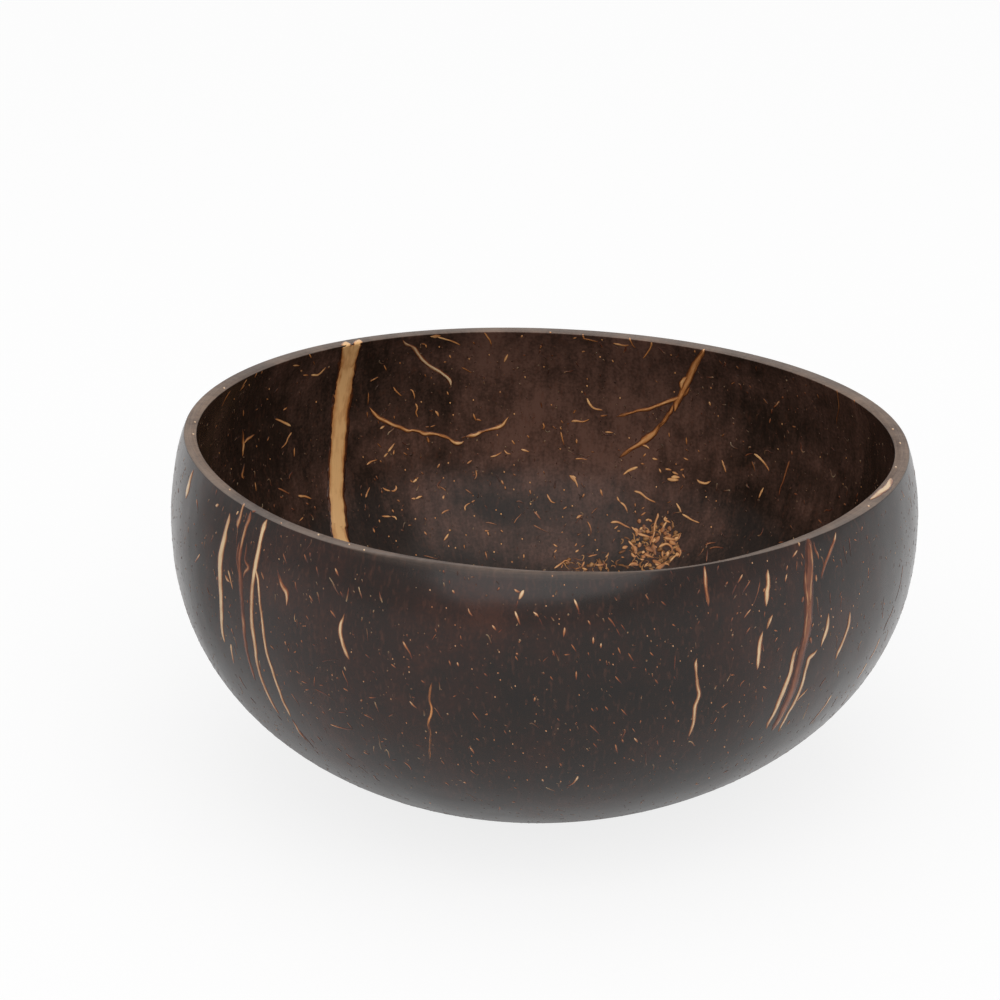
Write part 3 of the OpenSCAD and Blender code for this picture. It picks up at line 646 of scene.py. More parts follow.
# Slips of the finest bundles, as the pixels that each runs through from its head on. The looks
# say their material, width, and tone of the head and of the tail
SLIP_LOOKS = {
    "broad cream outside": ("pale_fibre", .7, .9, .3),
    "bright outside": ("orange_fibre", .46, 1, -.1),
    "plain outside": ("orange_fibre", .38, .6, -.25),
    "red outside": ("orange_fibre", .32, .2, -.35),
    "faint outside": ("pale_fibre", .36, .25, -.2),
    "bright inside": ("tan_fibre", .5, 1, .5),
    "plain inside": ("tan_fibre", .42, .7, .25),
    "faint inside": ("tan_fibre", .38, .3, -.1),
    "orange inside": ("orange_fibre", .45, .55, 0),
    "clinging sheet inside": ("tan_fibre", 1.25, .42, .25),
    "clinging inside": ("tan_fibre", .55, .9, .35),
    "clinging lump inside": ("tan_fibre", 1.0, .9, .6),
}
SLIPS_SEEN = {
    "broad cream outside": [
        (880, 638, 875, 650, 869, 660), (867, 663, 863, 670, 857, 679),
        (831.5, 695, 826, 704, 820, 712, 809, 725), (228, 570, 230, 577, 231.5, 584, 233, 590),
        (231, 644, 231.3, 650, 232.5, 657, 234, 664), (524, 590, 521, 595, 518.5, 600),
        (799, 542, 799, 547), (215.5, 506, 219, 505), (238.5, 511, 236, 515)],
    "bright outside": [
        (231, 628, 234, 636), (225, 596, 226, 599), (284.5, 641, 286.5, 646), (309, 595, 314, 603),
        (335, 568, 339, 577), (515, 611, 517, 617, 520.5, 626), (588, 620, 591, 626),
        (593, 637, 593, 645), (601, 643, 601, 649), (514, 589, 518, 591.5, 522, 592),
        (452, 590, 455, 594), (468, 608, 470, 613, 473.5, 617), (533, 612, 537, 615, 539, 618),
        (492, 625, 497, 631), (565, 627, 563.5, 638), (574, 599, 577, 606, 579.5, 613),
        (457, 662, 459, 667), (516, 653, 518.5, 655), (576, 671, 576.3, 681),
        (497, 673, 499.5, 673), (535, 697, 534, 702), (470, 747, 475, 754), (787.7, 565, 786, 572),
        (787, 574, 784.7, 583), (742.5, 574, 740, 579, 737, 584), (777.5, 637, 774, 643),
        (790, 627, 789, 633), (813.5, 623, 811.5, 628), (821, 615, 821, 618),
        (797.5, 550, 794, 555, 791.5, 558), (763, 686, 767, 688.7), (264, 669, 264.3, 672),
        (302, 714.5, 304.5, 716), (276, 729, 277.5, 731), (216, 532, 216.3, 534.5),
        (200, 554, 197, 559, 194.5, 563), (785, 603, 784.4, 605.5), (634, 738, 638, 743),
        (582, 765, 584, 766), (578, 776, 576, 780, 572, 784, 566, 786),
        (409.5, 701, 413, 705, 418, 709), (463, 782, 467, 783), (512, 802, 516, 802),
        (402.5, 641, 406, 647, 410, 653, 412.5, 660)],
    "plain outside": [
        (365, 654, 371, 659), (391, 663.5, 397, 669), (368.5, 697.5, 373, 697.7, 377.5, 696.5),
        (388.5, 717, 391, 715, 394.5, 713), (363.5, 714.5, 369, 717, 374.5, 719.5),
        (363, 751.5, 369, 755), (392, 760, 397, 760), (381, 742, 384, 741), (305, 690, 310, 689),
        (443, 570, 444.5, 573.5), (499.5, 587, 497, 591), (436, 634, 434, 637, 431.5, 641),
        (571, 644, 574, 648, 577, 653), (564, 655, 571, 654), (552.5, 650, 555, 657),
        (515, 656, 518.5, 661), (449, 660, 451, 667), (484, 673, 488, 677),
        (476, 686.5, 479.5, 689), (550, 676, 553.5, 681), (460, 635, 461.5, 641),
        (608, 617, 612, 622, 616, 628), (621, 624, 626, 632), (618, 647, 621, 655),
        (628, 653, 634, 662), (426, 646, 430, 650), (587, 674, 591, 679), (615, 676, 622, 684),
        (421, 680, 426, 684), (453, 697, 457, 695), (472, 712, 480, 722), (557, 718, 560, 722),
        (591, 708, 594, 712), (605, 706, 609, 711), (621, 709, 628, 716), (590, 725, 600, 735),
        (504, 730, 507, 735), (476, 738, 480, 741), (593, 743, 598, 749), (615, 744, 618, 754),
        (470, 770, 477, 775), (196.5, 499, 198, 511), (217, 489, 215.3, 496),
        (233, 528, 233.7, 532), (195, 544, 196.5, 548), (228, 611, 231, 615),
        (226, 625, 229.5, 628.5), (247, 600, 248.3, 603.5), (281, 535, 281.7, 538.5),
        (283, 553, 285, 559, 287, 565), (304, 554, 306, 559, 308.5, 564), (310, 552, 310.2, 558.5),
        (295, 581, 296, 587, 298.3, 594.5), (278, 617, 279.5, 619.5), (306, 615, 309.5, 621),
        (330, 610, 333, 614, 337, 619), (340, 591, 344, 599), (316, 566, 319, 578),
        (296, 651.5, 293.5, 653), (301, 640, 302.7, 643.5), (312, 644, 317, 646.5),
        (288, 648, 289.5, 653), (290.5, 670, 290.5, 672.5), (296, 671, 300.5, 674),
        (301, 681, 308, 683.5), (342, 670, 345, 677, 347.7, 683, 347, 688), (343, 688, 349, 691.5),
        (352, 634, 355, 635.5), (345.5, 708, 348, 710.5), (322, 711, 325.5, 715),
        (330, 724, 338, 727, 347, 729, 353, 729), (347, 722, 353, 729),
        (346, 753, 350, 757, 356.5, 760.5), (718.5, 565, 717, 571.5), (728, 581.5, 725, 585.5),
        (750.5, 580, 746, 587, 741.5, 595), (738, 612, 736, 615), (733, 617, 730, 623),
        (751, 609, 746, 615, 743, 619.5), (750.5, 627, 747, 632, 744.5, 637),
        (771, 597, 773.5, 601.5), (777, 577, 775, 582), (774, 630, 778, 631),
        (779.5, 647, 776.5, 652.5), (650, 652, 654, 656.5), (645, 668, 646.5, 673),
        (655, 679, 658.5, 684.5), (730.5, 675, 735, 675), (745, 680, 741, 684, 740, 688),
        (721, 708, 725, 705, 729, 702), (717, 717, 714, 722, 711, 725), (672, 701, 674, 705),
        (669, 689, 670.3, 693), (862.5, 526, 861, 532), (854, 539, 857, 541),
        (833, 559, 834.5, 562), (672, 624, 676, 626.5), (661, 601, 667, 606), (723, 773, 729, 770),
        (695, 784, 699.5, 784), (728, 751.5, 728.5, 754), (411, 655, 412, 660),
        (588, 652, 589, 656), (632, 667.5, 638, 667.5), (641, 720, 640, 724), (622, 739, 624, 743),
        (576, 722, 577, 724), (613.5, 722, 615, 724), (514, 761, 517, 762), (514, 787, 518, 789),
        (509, 776, 509, 779), (522, 752.5, 525, 753), (632, 759, 635, 762), (624, 757, 625, 759),
        (412, 697, 416, 698), (404, 762, 409, 766, 412, 771), (485, 714, 488, 715),
        (477, 761, 479, 764), (445, 782, 450, 786), (560, 763, 562, 767)],
    "red outside": [
        (324, 727, 327, 733), (372, 670.5, 376, 673.5), (345, 697, 347, 698.5),
        (385, 745, 386, 747), (362, 738, 367, 741), (319, 685, 324, 685.5), (406, 683, 410, 686),
        (338, 712, 347, 712.5), (518, 600, 517, 604, 515.5, 609), (539, 618, 541.5, 623, 543, 628),
        (449, 580, 450, 585), (578, 610, 580, 617), (616, 628, 621, 637), (498, 633, 503, 628),
        (737, 584, 734, 589, 731.5, 596), (699.5, 620, 697, 626), (717, 613, 717, 622),
        (687, 576, 689.5, 582), (670, 570, 673.5, 577), (675, 655, 675, 662, 674, 671),
        (663, 724, 662, 731), (674, 676, 675.5, 680), (322, 662, 328, 660, 340, 660),
        (315, 676, 314.3, 683, 315, 688), (315, 689, 321, 692, 328, 696, 338, 703),
        (308, 664, 313.5, 666.5), (843, 545, 845, 554, 847.5, 564), (849, 537, 850, 546, 851, 557),
        (781, 587, 779, 592), (830, 592, 830, 603), (687, 611, 690.5, 613.5), (492, 558, 497, 562),
        (247, 512, 244, 524), (293, 534.5, 294, 536.5), (305, 539, 306, 541.5),
        (192, 565, 191.5, 567.5)],
    "faint outside": [
        (379, 652, 381, 656), (384, 764.5, 391, 769.5), (373.5, 775, 376, 778.5, 380, 781.5),
        (299, 730, 303, 735, 309, 742, 314, 748), (284, 681, 285, 686), (316, 717, 319, 719),
        (332, 717, 334, 720), (337, 748, 342, 752), (395, 775, 399, 779), (213, 550, 215.5, 557),
        (214, 570, 215.5, 577), (207, 587, 209.5, 595), (224, 506, 222, 512), (252, 541, 251, 545),
        (231, 604, 229, 608), (270, 645, 275, 650), (291, 693, 296, 700, 300, 707),
        (239, 676, 243, 684, 247, 689), (250, 697, 256, 704), (317, 736, 322, 742),
        (346, 762, 353, 767), (310, 738, 315, 744), (277, 715, 282, 720.5), (361, 724, 364.5, 727),
        (700, 589, 697, 595), (760, 581, 758, 591, 755, 600, 752, 607), (734, 631, 731, 635.5),
        (731, 648, 733.5, 651.5), (765, 611, 764, 618), (754, 720, 751, 724, 748, 728),
        (756, 695, 756.3, 700), (782, 658, 780, 662), (751, 664, 753.5, 663),
        (836, 568, 838, 564.5), (867, 535, 867, 540.5), (843.5, 578, 842, 582),
        (841.5, 591, 839, 598), (858, 624, 856, 628), (864.5, 615, 864, 620.5),
        (645, 594, 649.5, 600.5), (760, 744, 764.5, 741), (738, 763, 735, 766.5),
        (657, 740, 658.3, 746), (542, 662, 549, 656), (903, 565, 901, 580, 898.5, 591, 895, 602),
        (894, 606, 891, 614, 887, 622, 883.5, 631), (826.5, 677, 822, 683, 819, 687.5),
        (801, 553, 804, 560), (801, 561, 802.5, 567), (797, 560, 796.3, 572),
        (562, 748, 565.5, 751.5), (448, 748, 452.5, 749.5), (492, 759, 496.5, 762.5),
        (632, 728, 635.5, 732.5), (435, 628, 437, 633), (178, 488, 178.5, 493),
        (180, 480, 181, 482.5), (415, 744, 424, 747), (441, 760, 445, 765)],
    "bright inside": [
        (395.7, 485.5, 396.3, 488.5, 393.5, 491, 390.5, 490.8),
        (415.5, 499, 419, 497.2, 422.5, 495.8), (416, 498.7, 411, 498.5),
        (465.5, 511, 465, 507, 467, 504.5, 471, 502.5), (443, 499, 444.5, 495),
        (412.5, 482.3, 415.5, 480.5, 418.5, 477.3), (450, 529.3, 450, 531.5),
        (448.5, 533.5, 446.5, 537, 443.5, 541), (396.7, 520, 394.7, 517.2, 391, 516.4),
        (576.5, 518.7, 579, 516.3, 582.5, 515), (575.5, 552.5, 579, 549.5),
        (570.5, 475.5, 574, 478, 576.5, 483, 578, 488), (572.5, 475.5, 576.5, 478.5),
        (311, 375, 317, 375, 321, 372.5, 326, 367), (508, 354.5, 506, 358, 504.3, 362.5),
        (587, 398, 589, 403, 593, 407.7, 598, 409.3, 603, 410.3),
        (521, 449.3, 525, 450.5, 530, 452), (569.5, 475, 572, 478, 576.5, 483),
        (634, 491, 640, 492.8, 645, 496.8, 650, 500, 656, 502.5), (676, 503, 679, 508, 681.5, 513),
        (682, 514, 687, 517, 693, 520.5, 700, 523), (697, 479.5, 700, 482.3, 706, 483.3, 711, 481),
        (617, 496.5, 618.5, 500, 621, 502.5),
        (754, 453.5, 759, 457.3, 764, 462.8, 767, 467, 769.5, 471.5),
        (763.5, 487.5, 761, 493, 758.5, 499), (722, 460, 724, 466, 726, 473),
        (646, 453.5, 643, 457), (652, 458.3, 658, 459.3),
        (638, 467, 631, 469.5, 627, 471.5, 623, 475), (659, 468.5, 661, 473),
        (522.5, 335, 521, 338), (550, 331.5, 551, 334),
        (437, 337, 443, 338.5, 453, 341.5, 461, 345.5), (430, 336.5, 437, 336.5),
        (709, 401.5, 710.7, 406), (605, 432, 613.5, 432.7), (293, 365.5, 300, 365.5),
        (291, 426, 287, 424, 281, 421, 275, 419), (298, 496, 305, 496.5, 312, 499),
        (388, 452, 391, 448, 395, 443), (384, 457, 388, 452.5), (380, 429, 385, 425.5),
        (435, 411, 437.5, 413.3, 438.7, 417), (600.5, 489, 602.5, 495.5),
        (620, 502, 624.5, 505.5, 627.5, 512)],
    "plain inside": [
        (412.5, 482.3, 409.5, 479.5), (390.5, 490.8, 386, 489.8, 382, 487.5),
        (471, 502.5, 475.5, 500), (473.5, 496.5, 473, 494.5), (441.5, 514, 445, 511.5, 450, 509.5),
        (391, 516.4, 386, 516.5, 381, 516), (401, 510, 403, 509.3), (392, 509.5, 394, 512.5),
        (379, 519.5, 379.7, 523), (375, 532.8, 372.5, 527), (424, 531.5, 427, 535.5),
        (464, 544.5, 464.7, 549), (448.3, 545, 449, 547.5), (365.5, 498, 367, 493, 370, 486.5),
        (484.5, 530.5, 487, 531, 489.5, 530.7), (488, 531.5, 488.7, 536), (501.5, 480, 503.5, 485),
        (505, 486, 505.3, 489.7), (529.5, 489.5, 531, 495), (500.5, 530, 503, 532.5),
        (567, 506.5, 562.5, 509.3), (584.5, 493.5, 582.5, 498), (601.5, 491.5, 602.7, 497),
        (523.7, 554, 524, 558.5), (588, 557, 593, 555.5, 598, 554.5), (600.5, 565, 604.5, 563.5),
        (581, 547, 585, 545), (562, 531.5, 562.5, 533), (303, 375, 309, 375),
        (370, 381.5, 374, 379.3, 379, 376.5), (384, 365, 386.3, 371), (399.7, 362, 400, 364.5),
        (410, 389.7, 412.5, 390.5, 414.3, 395, 414.5, 399.5),
        (415.5, 403, 417.5, 408, 416, 412.5, 418, 418), (447, 391.5, 448.5, 395.5),
        (393, 387, 398, 393, 402, 396.5), (430, 427, 436, 424.8),
        (366.5, 465, 371, 461.7, 378, 459.3), (380, 460, 381.5, 462.5), (393.3, 455, 394, 449.5),
        (440, 463.5, 437, 468.5), (449.5, 355, 451, 358.5), (443.5, 362.3, 447, 361.7),
        (461, 367.5, 464, 368.5, 472.5, 373), (468.3, 359.5, 470.5, 358.5),
        (484, 332, 487, 336.5, 490, 341, 491.7, 346), (421, 343.5, 427, 344.5),
        (425.5, 344, 426.5, 348), (581.5, 351.7, 585.5, 351.3), (541.5, 345.7, 540, 349),
        (473, 413.5, 475, 418, 476.5, 421.5), (476, 419, 482, 421),
        (543, 422.5, 544.3, 427, 541.5, 430), (560, 426.5, 561.3, 430),
        (561, 431.5, 562.3, 439, 564.3, 446), (571, 421.5, 576, 420.7, 583, 421.5, 590, 419),
        (600, 416, 609, 415), (527, 435, 529.5, 438.5), (511.5, 440, 515, 445),
        (576.5, 439, 576.7, 444), (591, 452, 595, 452), (575, 459, 581, 458.7, 588, 460),
        (490, 457, 497, 455, 502.5, 451), (504, 450, 507, 453, 511.5, 454.3),
        (467, 464, 472.5, 459.7), (476, 470, 476.3, 476, 473.5, 480),
        (613, 343.3, 618, 344.3, 624, 345.3, 630, 345),
        (629.5, 337.5, 631, 341.5, 633, 345.5, 636.5, 348.5),
        (651.8, 341.5, 650.3, 348.5, 646.5, 354, 642.5, 359), (694.5, 350, 695, 353),
        (612, 359.7, 613.7, 362.7), (669, 432.5, 669.7, 437.5), (686, 437, 687, 445.5),
        (698, 449.7, 700, 452.7), (683.5, 457.7, 689, 460.3), (640.5, 463.5, 645, 464.3),
        (573, 338.5, 577, 337.3), (583, 334, 584, 338.5, 591, 340, 598.5, 342),
        (605, 557.5, 608, 554.5, 608, 552), (621, 557, 624.7, 557.7), (613, 565, 617, 567.3),
        (604, 562, 606, 565.5), (605, 568.7, 608.5, 568), (635, 503, 635.3, 507.5),
        (635, 510.5, 635.5, 513), (644.5, 507, 641, 509.5), (646, 512.3, 640, 516),
        (554, 568.5, 561, 564, 566, 560.5, 570.5, 563.5), (561, 568.5, 563, 563.5),
        (553, 544, 558, 547), (576.5, 543, 575, 547), (554, 553, 557, 549), (575, 569, 582, 567),
        (595, 565, 605, 564.7), (614, 529, 618.5, 525.5), (617, 531, 620.7, 531),
        (547, 494, 551, 501, 556, 503), (262.5, 370.5, 261, 374.5), (257, 372.5, 254.3, 378.3),
        (247, 379, 243, 385.5, 239.5, 391.5), (245, 384.5, 240, 391),
        (230.5, 390.5, 226, 397.5, 221, 407.5), (309, 353.7, 311.5, 358.5),
        (258, 408.5, 255, 410.3), (283, 410.3, 287.5, 407),
        (291.7, 432, 288, 438, 286, 443, 281, 448.3), (267, 441.3, 269.3, 435.7),
        (294.5, 447.5, 294.3, 457.5), (256.5, 445, 256.7, 447.7), (243.4, 410, 243.3, 417),
        (217, 425, 215, 428), (255, 482, 256.3, 492), (303.5, 517, 298.5, 522),
        (266.5, 398.7, 268.5, 399.3)],
    "faint inside": [
        (361.5, 484.5, 360.5, 490), (361.3, 493, 361.7, 497), (365, 503.5, 366, 510),
        (379.5, 504.5, 378.7, 508.5), (381.5, 490, 382, 494.5), (397, 499.5, 400.5, 502),
        (403.3, 504.5, 402, 507.5), (424.5, 517.5, 426.7, 520.7), (408, 525.5, 412, 525),
        (400.5, 530, 404.5, 530.5), (421, 471.5, 423.5, 475), (423, 555.5, 431, 557.3, 439, 559.3),
        (446, 491.5, 444, 489, 440, 486.7, 435, 485.5), (465, 489, 469.5, 492, 473, 494.5),
        (485, 522.5, 490, 523, 498, 525), (485, 551, 486.7, 557, 487.5, 561),
        (513, 473.5, 516.5, 476), (516, 502.5, 519, 501, 524, 503.5), (518, 505.5, 520, 508.5),
        (514, 524, 516.5, 519.5, 522, 513), (533, 525, 541, 529, 549, 533),
        (591, 514, 594, 510.5, 598, 507), (581, 482.5, 584.5, 488.3),
        (587, 521, 590, 526, 591, 532, 589.5, 537), (577, 535.5, 582, 532.5),
        (572, 558, 580, 560, 586, 562), (601, 553.3, 608, 552), (554, 555, 556, 560),
        (543, 471, 545, 474), (313.5, 361, 314.3, 365.5), (298, 381, 296, 385),
        (278.5, 387.5, 274, 394), (368.5, 392, 368, 406), (367, 411, 367.7, 418.5),
        (424.5, 374, 426.3, 377.7), (430.5, 377, 431.5, 379), (378, 420.5, 378.7, 424.5),
        (394, 415.5, 394.5, 419.5), (433, 411, 428, 410), (425, 427, 430, 426.5),
        (377, 443, 382.3, 448.3), (403, 452.5, 408.3, 455.5), (421, 456, 420, 459),
        (414.5, 477, 418, 479.5), (374, 478, 376, 481), (466, 436.5, 460, 438.3),
        (541, 401.5, 542.3, 408.5), (573, 414, 576.5, 408.5), (552, 425.5, 557.5, 430),
        (566.5, 424.5, 570, 422), (473, 341.5, 475.5, 345), (553, 354.5, 551, 356.5),
        (719, 360, 723, 365.5), (731, 384.5, 735.5, 381.5), (724.5, 433.5, 721.5, 437.5),
        (736, 365.5, 739, 369), (746.5, 391, 748.7, 394.5), (756, 365.5, 757, 372.5),
        (763, 398, 768.5, 404.5), (817, 393.5, 819.5, 400), (824, 384.5, 828, 390),
        (837, 390, 838.3, 399, 839, 408, 837, 418, 837, 425.5), (854, 399.5, 855.3, 404.5),
        (792, 426, 796.5, 427.3), (752, 461, 754, 467, 756, 473), (667, 503.3, 672.5, 500.7),
        (668, 510.5, 668, 514.5), (683.5, 484.5, 680, 490.5), (704, 548, 701, 553, 697.5, 557),
        (685.3, 448.7, 689.5, 451.7), (658, 382.5, 655, 380), (790, 524.5, 793, 529.5),
        (804, 499, 805, 505), (208.8, 454.5, 207.6, 457.4), (228.5, 434, 227.5, 437),
        (235, 479, 232, 483), (225.5, 464.5, 224.5, 467), (615, 538, 612, 543),
        (561, 420, 563.5, 423.5)],
    "orange inside": [
        (706.3, 562, 707, 555, 707.3, 549), (534, 511, 537.5, 515, 541.5, 520),
        (375.8, 475.5, 377.7, 480), (745, 456, 749, 454, 753.5, 453.3), (783, 396, 781.7, 399),
        (779.5, 401, 776, 405, 773, 408), (772, 408.5, 771.5, 414.5), (770.5, 418, 769, 424),
        (791.7, 450.5, 792.3, 456),
        (789.5, 460.5, 787.3, 468, 785, 475.5, 783, 482, 780.3, 488.5, 779, 496),
        (743, 440.7, 744, 442.5), (709, 549, 716, 547, 724.5, 548.3),
        (705, 545, 710, 543.3, 716.5, 542), (818, 519.5, 822.5, 523.5), (839, 495.5, 840.3, 498.5),
        (843.5, 503.7, 846.7, 505), (857, 499, 857.6, 502.3), (794, 493.5, 798, 495),
        (289, 479.5, 290, 475, 293.7, 471), (278, 488, 284, 491, 290, 494.5),
        (274, 504, 274.3, 508), (280, 496.5, 283, 498), (291, 508, 295, 510.5),
        (540, 345.5, 542.5, 347), (778, 542.8, 784.5, 541.5), (788, 409, 789.5, 410.3),
        (797, 408, 799, 409.7), (805, 392, 806, 394.3), (797, 395, 798, 397.5),
        (749, 385, 752, 389), (806, 384, 806.5, 386.5), (858, 492.5, 856, 499),
        (306, 503, 309, 504.5), (314, 506, 316, 509), (407, 448.3, 409, 450),
        (523, 355, 526, 355.7), (618, 449, 620, 451)],
    "clinging sheet inside": [
        (643.6, 524, 645, 531), (646, 530, 650, 533), (638.5, 518.5, 640, 524),
        (669, 525.5, 670.5, 532), (664, 537, 670, 539, 676, 540), (669.5, 540, 673, 543, 676, 545),
        (652.5, 544, 654, 550, 656, 556), (639.7, 543, 638.5, 548), (660, 536, 657, 540, 655, 544),
        (645, 547, 650, 549, 655, 552), (675, 547.5, 679, 550, 680.5, 554),
        (652, 560, 657, 562.5, 662, 564), (634, 545, 635, 550, 636, 555), (641, 556.5, 646, 557),
        (664, 527, 661, 533), (656, 568.3, 661, 566, 666, 563.5), (644, 553.5, 650, 556),
        (664.5, 531, 666, 536), (637, 531, 643, 531.5), (629, 565.5, 634, 564, 639, 565.5),
        (670, 533.5, 668.5, 538), (650, 536, 653, 540)],
    "clinging inside": [
        (584.5, 561, 583, 565, 581, 568), (582, 568, 588, 570),
        (610.5, 522.5, 617.5, 522.3, 625.7, 526, 631, 528), (631.5, 526.5, 637.2, 532.9, 636, 537),
        (637.2, 532.9, 646, 536, 651, 537), (643, 527, 637.5, 532),
        (658, 513, 657.6, 517, 655.7, 522, 654.4, 528.5, 653.8, 535, 651.2, 541, 650, 546),
        (666, 516.5, 664.6, 519.5, 668.4, 521.5, 671, 522.5),
        (667, 521.5, 664, 526, 662, 529.7, 657.5, 532),
        (664, 537.4, 670, 538.7, 675.5, 539.3, 679.3, 537.4, 681, 532),
        (658.9, 547.6, 662, 545, 666.5, 543.8, 670.4, 545.7, 672.3, 549, 671, 552.7, 667.8, 555.5),
        (679.5, 549, 680.7, 552.7, 678.6, 558.4), (669.7, 561.6, 674.8, 556.5, 681, 552),
        (655.7, 568.6, 660.2, 566.1, 665.3, 563.5, 668.4, 564.6, 669, 566.2),
        (648.7, 519.5, 652.5, 522.1), (645.5, 520.2, 650, 519),
        (628.3, 540.6, 631, 543.8, 633.4, 546.3, 634.6, 549.5),
        (630.8, 552.7, 634.6, 556.5, 638, 555.3), (644.8, 554, 650, 556.5, 655, 557.8),
        (628.3, 566, 633.4, 563.5, 639, 565), (644.2, 567.5, 647.4, 563.5, 649.3, 562.5),
        (662.1, 550.8, 662.3, 557.8), (657, 548, 654, 545), (640, 559.5, 644.5, 559.7),
        (665, 469, 672, 470.3), (680, 470.5, 684.5, 468.7), (682, 474, 685.5, 478.5),
        (672, 472, 679, 475)],
    "clinging lump inside": [
        (634.5, 528, 637.2, 532, 636.3, 537), (641.7, 552, 645, 552.3), (655.5, 538, 652, 543),
        (666, 517.5, 666, 520.5), (675, 554.8, 680, 554.3), (674, 539.5, 679, 537.5),
        (621.9, 548.3, 628.3, 546.2), (638.5, 544, 641, 543.8), (655, 563.5, 662, 565),
        (432, 337, 441, 335.5), (668, 551, 666.8, 557), (667, 479, 673, 479.5, 679, 480),
        (671, 477, 680, 477.5)],
}
# Round ends of bundles, as pixels. The bright ones lie on the rim or next to it
ENDS_SEEN = {
    "plain outside": [
        (500, 680), (495, 697), (579, 695), (487, 714), (536, 714), (546, 731), (494, 740),
        (523, 753), (583, 766), (515, 686), (472, 669), (553, 596), (564, 585), (552, 576),
        (546, 606), (559, 619), (559, 624), (446, 608), (455, 646), (205, 538), (202, 543),
        (194, 524), (264, 550), (279, 559), (267, 587), (256, 613), (305, 626), (295, 621),
        (271, 632), (303, 626), (326, 638), (351, 652), (277, 675), (332, 675), (311, 703),
        (363.5, 681.5), (361.5, 700), (391, 699), (392.5, 659), (404, 657), (708, 613), (752, 605),
        (759, 611), (691, 651), (673, 646), (647, 636), (654, 629), (680, 661), (657, 667),
        (703, 666), (764, 667), (744, 695), (739, 702), (711, 703), (715, 730), (744, 716),
        (678, 721), (674, 741), (660, 756), (724, 747), (752, 739), (709, 778), (817, 636),
        (841, 611), (831, 609), (833, 617), (833, 627), (853, 606), (852, 628), (863, 562),
        (868, 577), (859, 594), (884, 604), (767, 561), (752, 563), (665, 718), (430, 590),
        (432, 607), (455, 625), (499, 652), (519, 642), (600, 660), (570, 730), (410, 640),
        (408.5, 667), (409, 672), (406.5, 723), (425.5, 738), (436, 732.5), (402, 733), (424, 777),
        (458, 764.5), (471.5, 756), (512.5, 744), (527, 780), (542, 780), (430, 803), (546, 767),
        (543, 780.5), (560.5, 781.5), (588, 786), (613, 654), (613, 664.5), (615, 763)],
    "plain inside": [
        (439, 347), (469, 359), (489, 355), (544, 367), (587, 379), (587, 386), (500, 392),
        (473, 400), (551, 405), (514, 414), (525, 377), (600, 357), (431, 378), (421, 402),
        (450, 403), (453, 415), (363, 457), (405, 470), (448, 463), (514, 465), (504, 472),
        (560, 449), (497, 435), (620, 398), (674, 392), (675, 373), (671, 355), (629, 438),
        (676, 464), (718, 416), (711, 388), (706, 497), (716, 501), (711, 527), (602, 340),
        (301, 371), (234, 399), (249, 385), (269, 389), (270, 459), (219, 453), (231, 469),
        (316, 402), (782, 424), (778, 449), (820, 457), (846, 458), (843, 484), (861, 487),
        (656, 487), (582, 392), (607, 515), (536, 512), (415, 519), (435, 518), (396, 541),
        (388.5, 536.5), (454, 481), (443, 478), (474, 516), (466, 535), (455, 548), (416, 555),
        (513.5, 489.5), (530, 482.5), (530.5, 504), (522, 539), (501, 544), (494, 552), (512, 562),
        (564, 490), (572, 506), (595, 540), (588.5, 535), (597, 550), (562.5, 517), (501, 514),
        (496, 510)],
    "bright outside": [
        (224, 388), (193, 434), (195, 422), (229.5, 489.6), (281, 523), (318, 534.6), (349, 544.5),
        (364, 550), (893, 429), (900, 443), (896, 467), (868.5, 506)],
}


# Materials

def colour(hexcode):
    """Linear colour of an sRGB hex code."""
    coded = [int(hexcode[start:start + 2], 16) / 255 for start in (1, 3, 5)]
    linear = [c / 12.92 if c <= 0.04045 else ((c + 0.055) / 1.055) ** 2.4 for c in coded]
    return (*linear, 1)


def node(tree, kind, inputs=None, stops=(), **settings):
    """Adds a node, applies its settings, and sets or links its inputs by name or by number.

    A node among the inputs stands for its first live output. The stops of a colour ramp are
    places and hex colours."""
    made = tree.nodes.new(kind)
    for key, value in settings.items():
        setattr(made, key, value)
    for key, value in (inputs or {}).items():
        named = [socket for socket in made.inputs if socket.name == key and socket.enabled]
        socket = made.inputs[key] if isinstance(key, int) else named[0]
        if isinstance(value, bpy.types.Node):
            value = next(output for output in value.outputs if output.enabled)
        if isinstance(value, bpy.types.NodeSocket):
            tree.links.new(value, socket)
        else:
            socket.default_value = value
    while stops and len(made.color_ramp.elements) < len(stops):
        made.color_ramp.elements.new(0.5)
    for number, (place, code) in enumerate(stops):
        element = made.color_ramp.elements[number]
        element.position = place
        element.color = colour(code)
    return made


def new_material(name):
    material = bpy.data.materials.new(name)
    material.use_nodes = True
    material.node_tree.nodes.clear()
    return material, material.node_tree


# The polish runs over the fibre as well as over the shell
POLISHED_ROUGHNESS = 0.27
POLISHED_IOR = 1.43


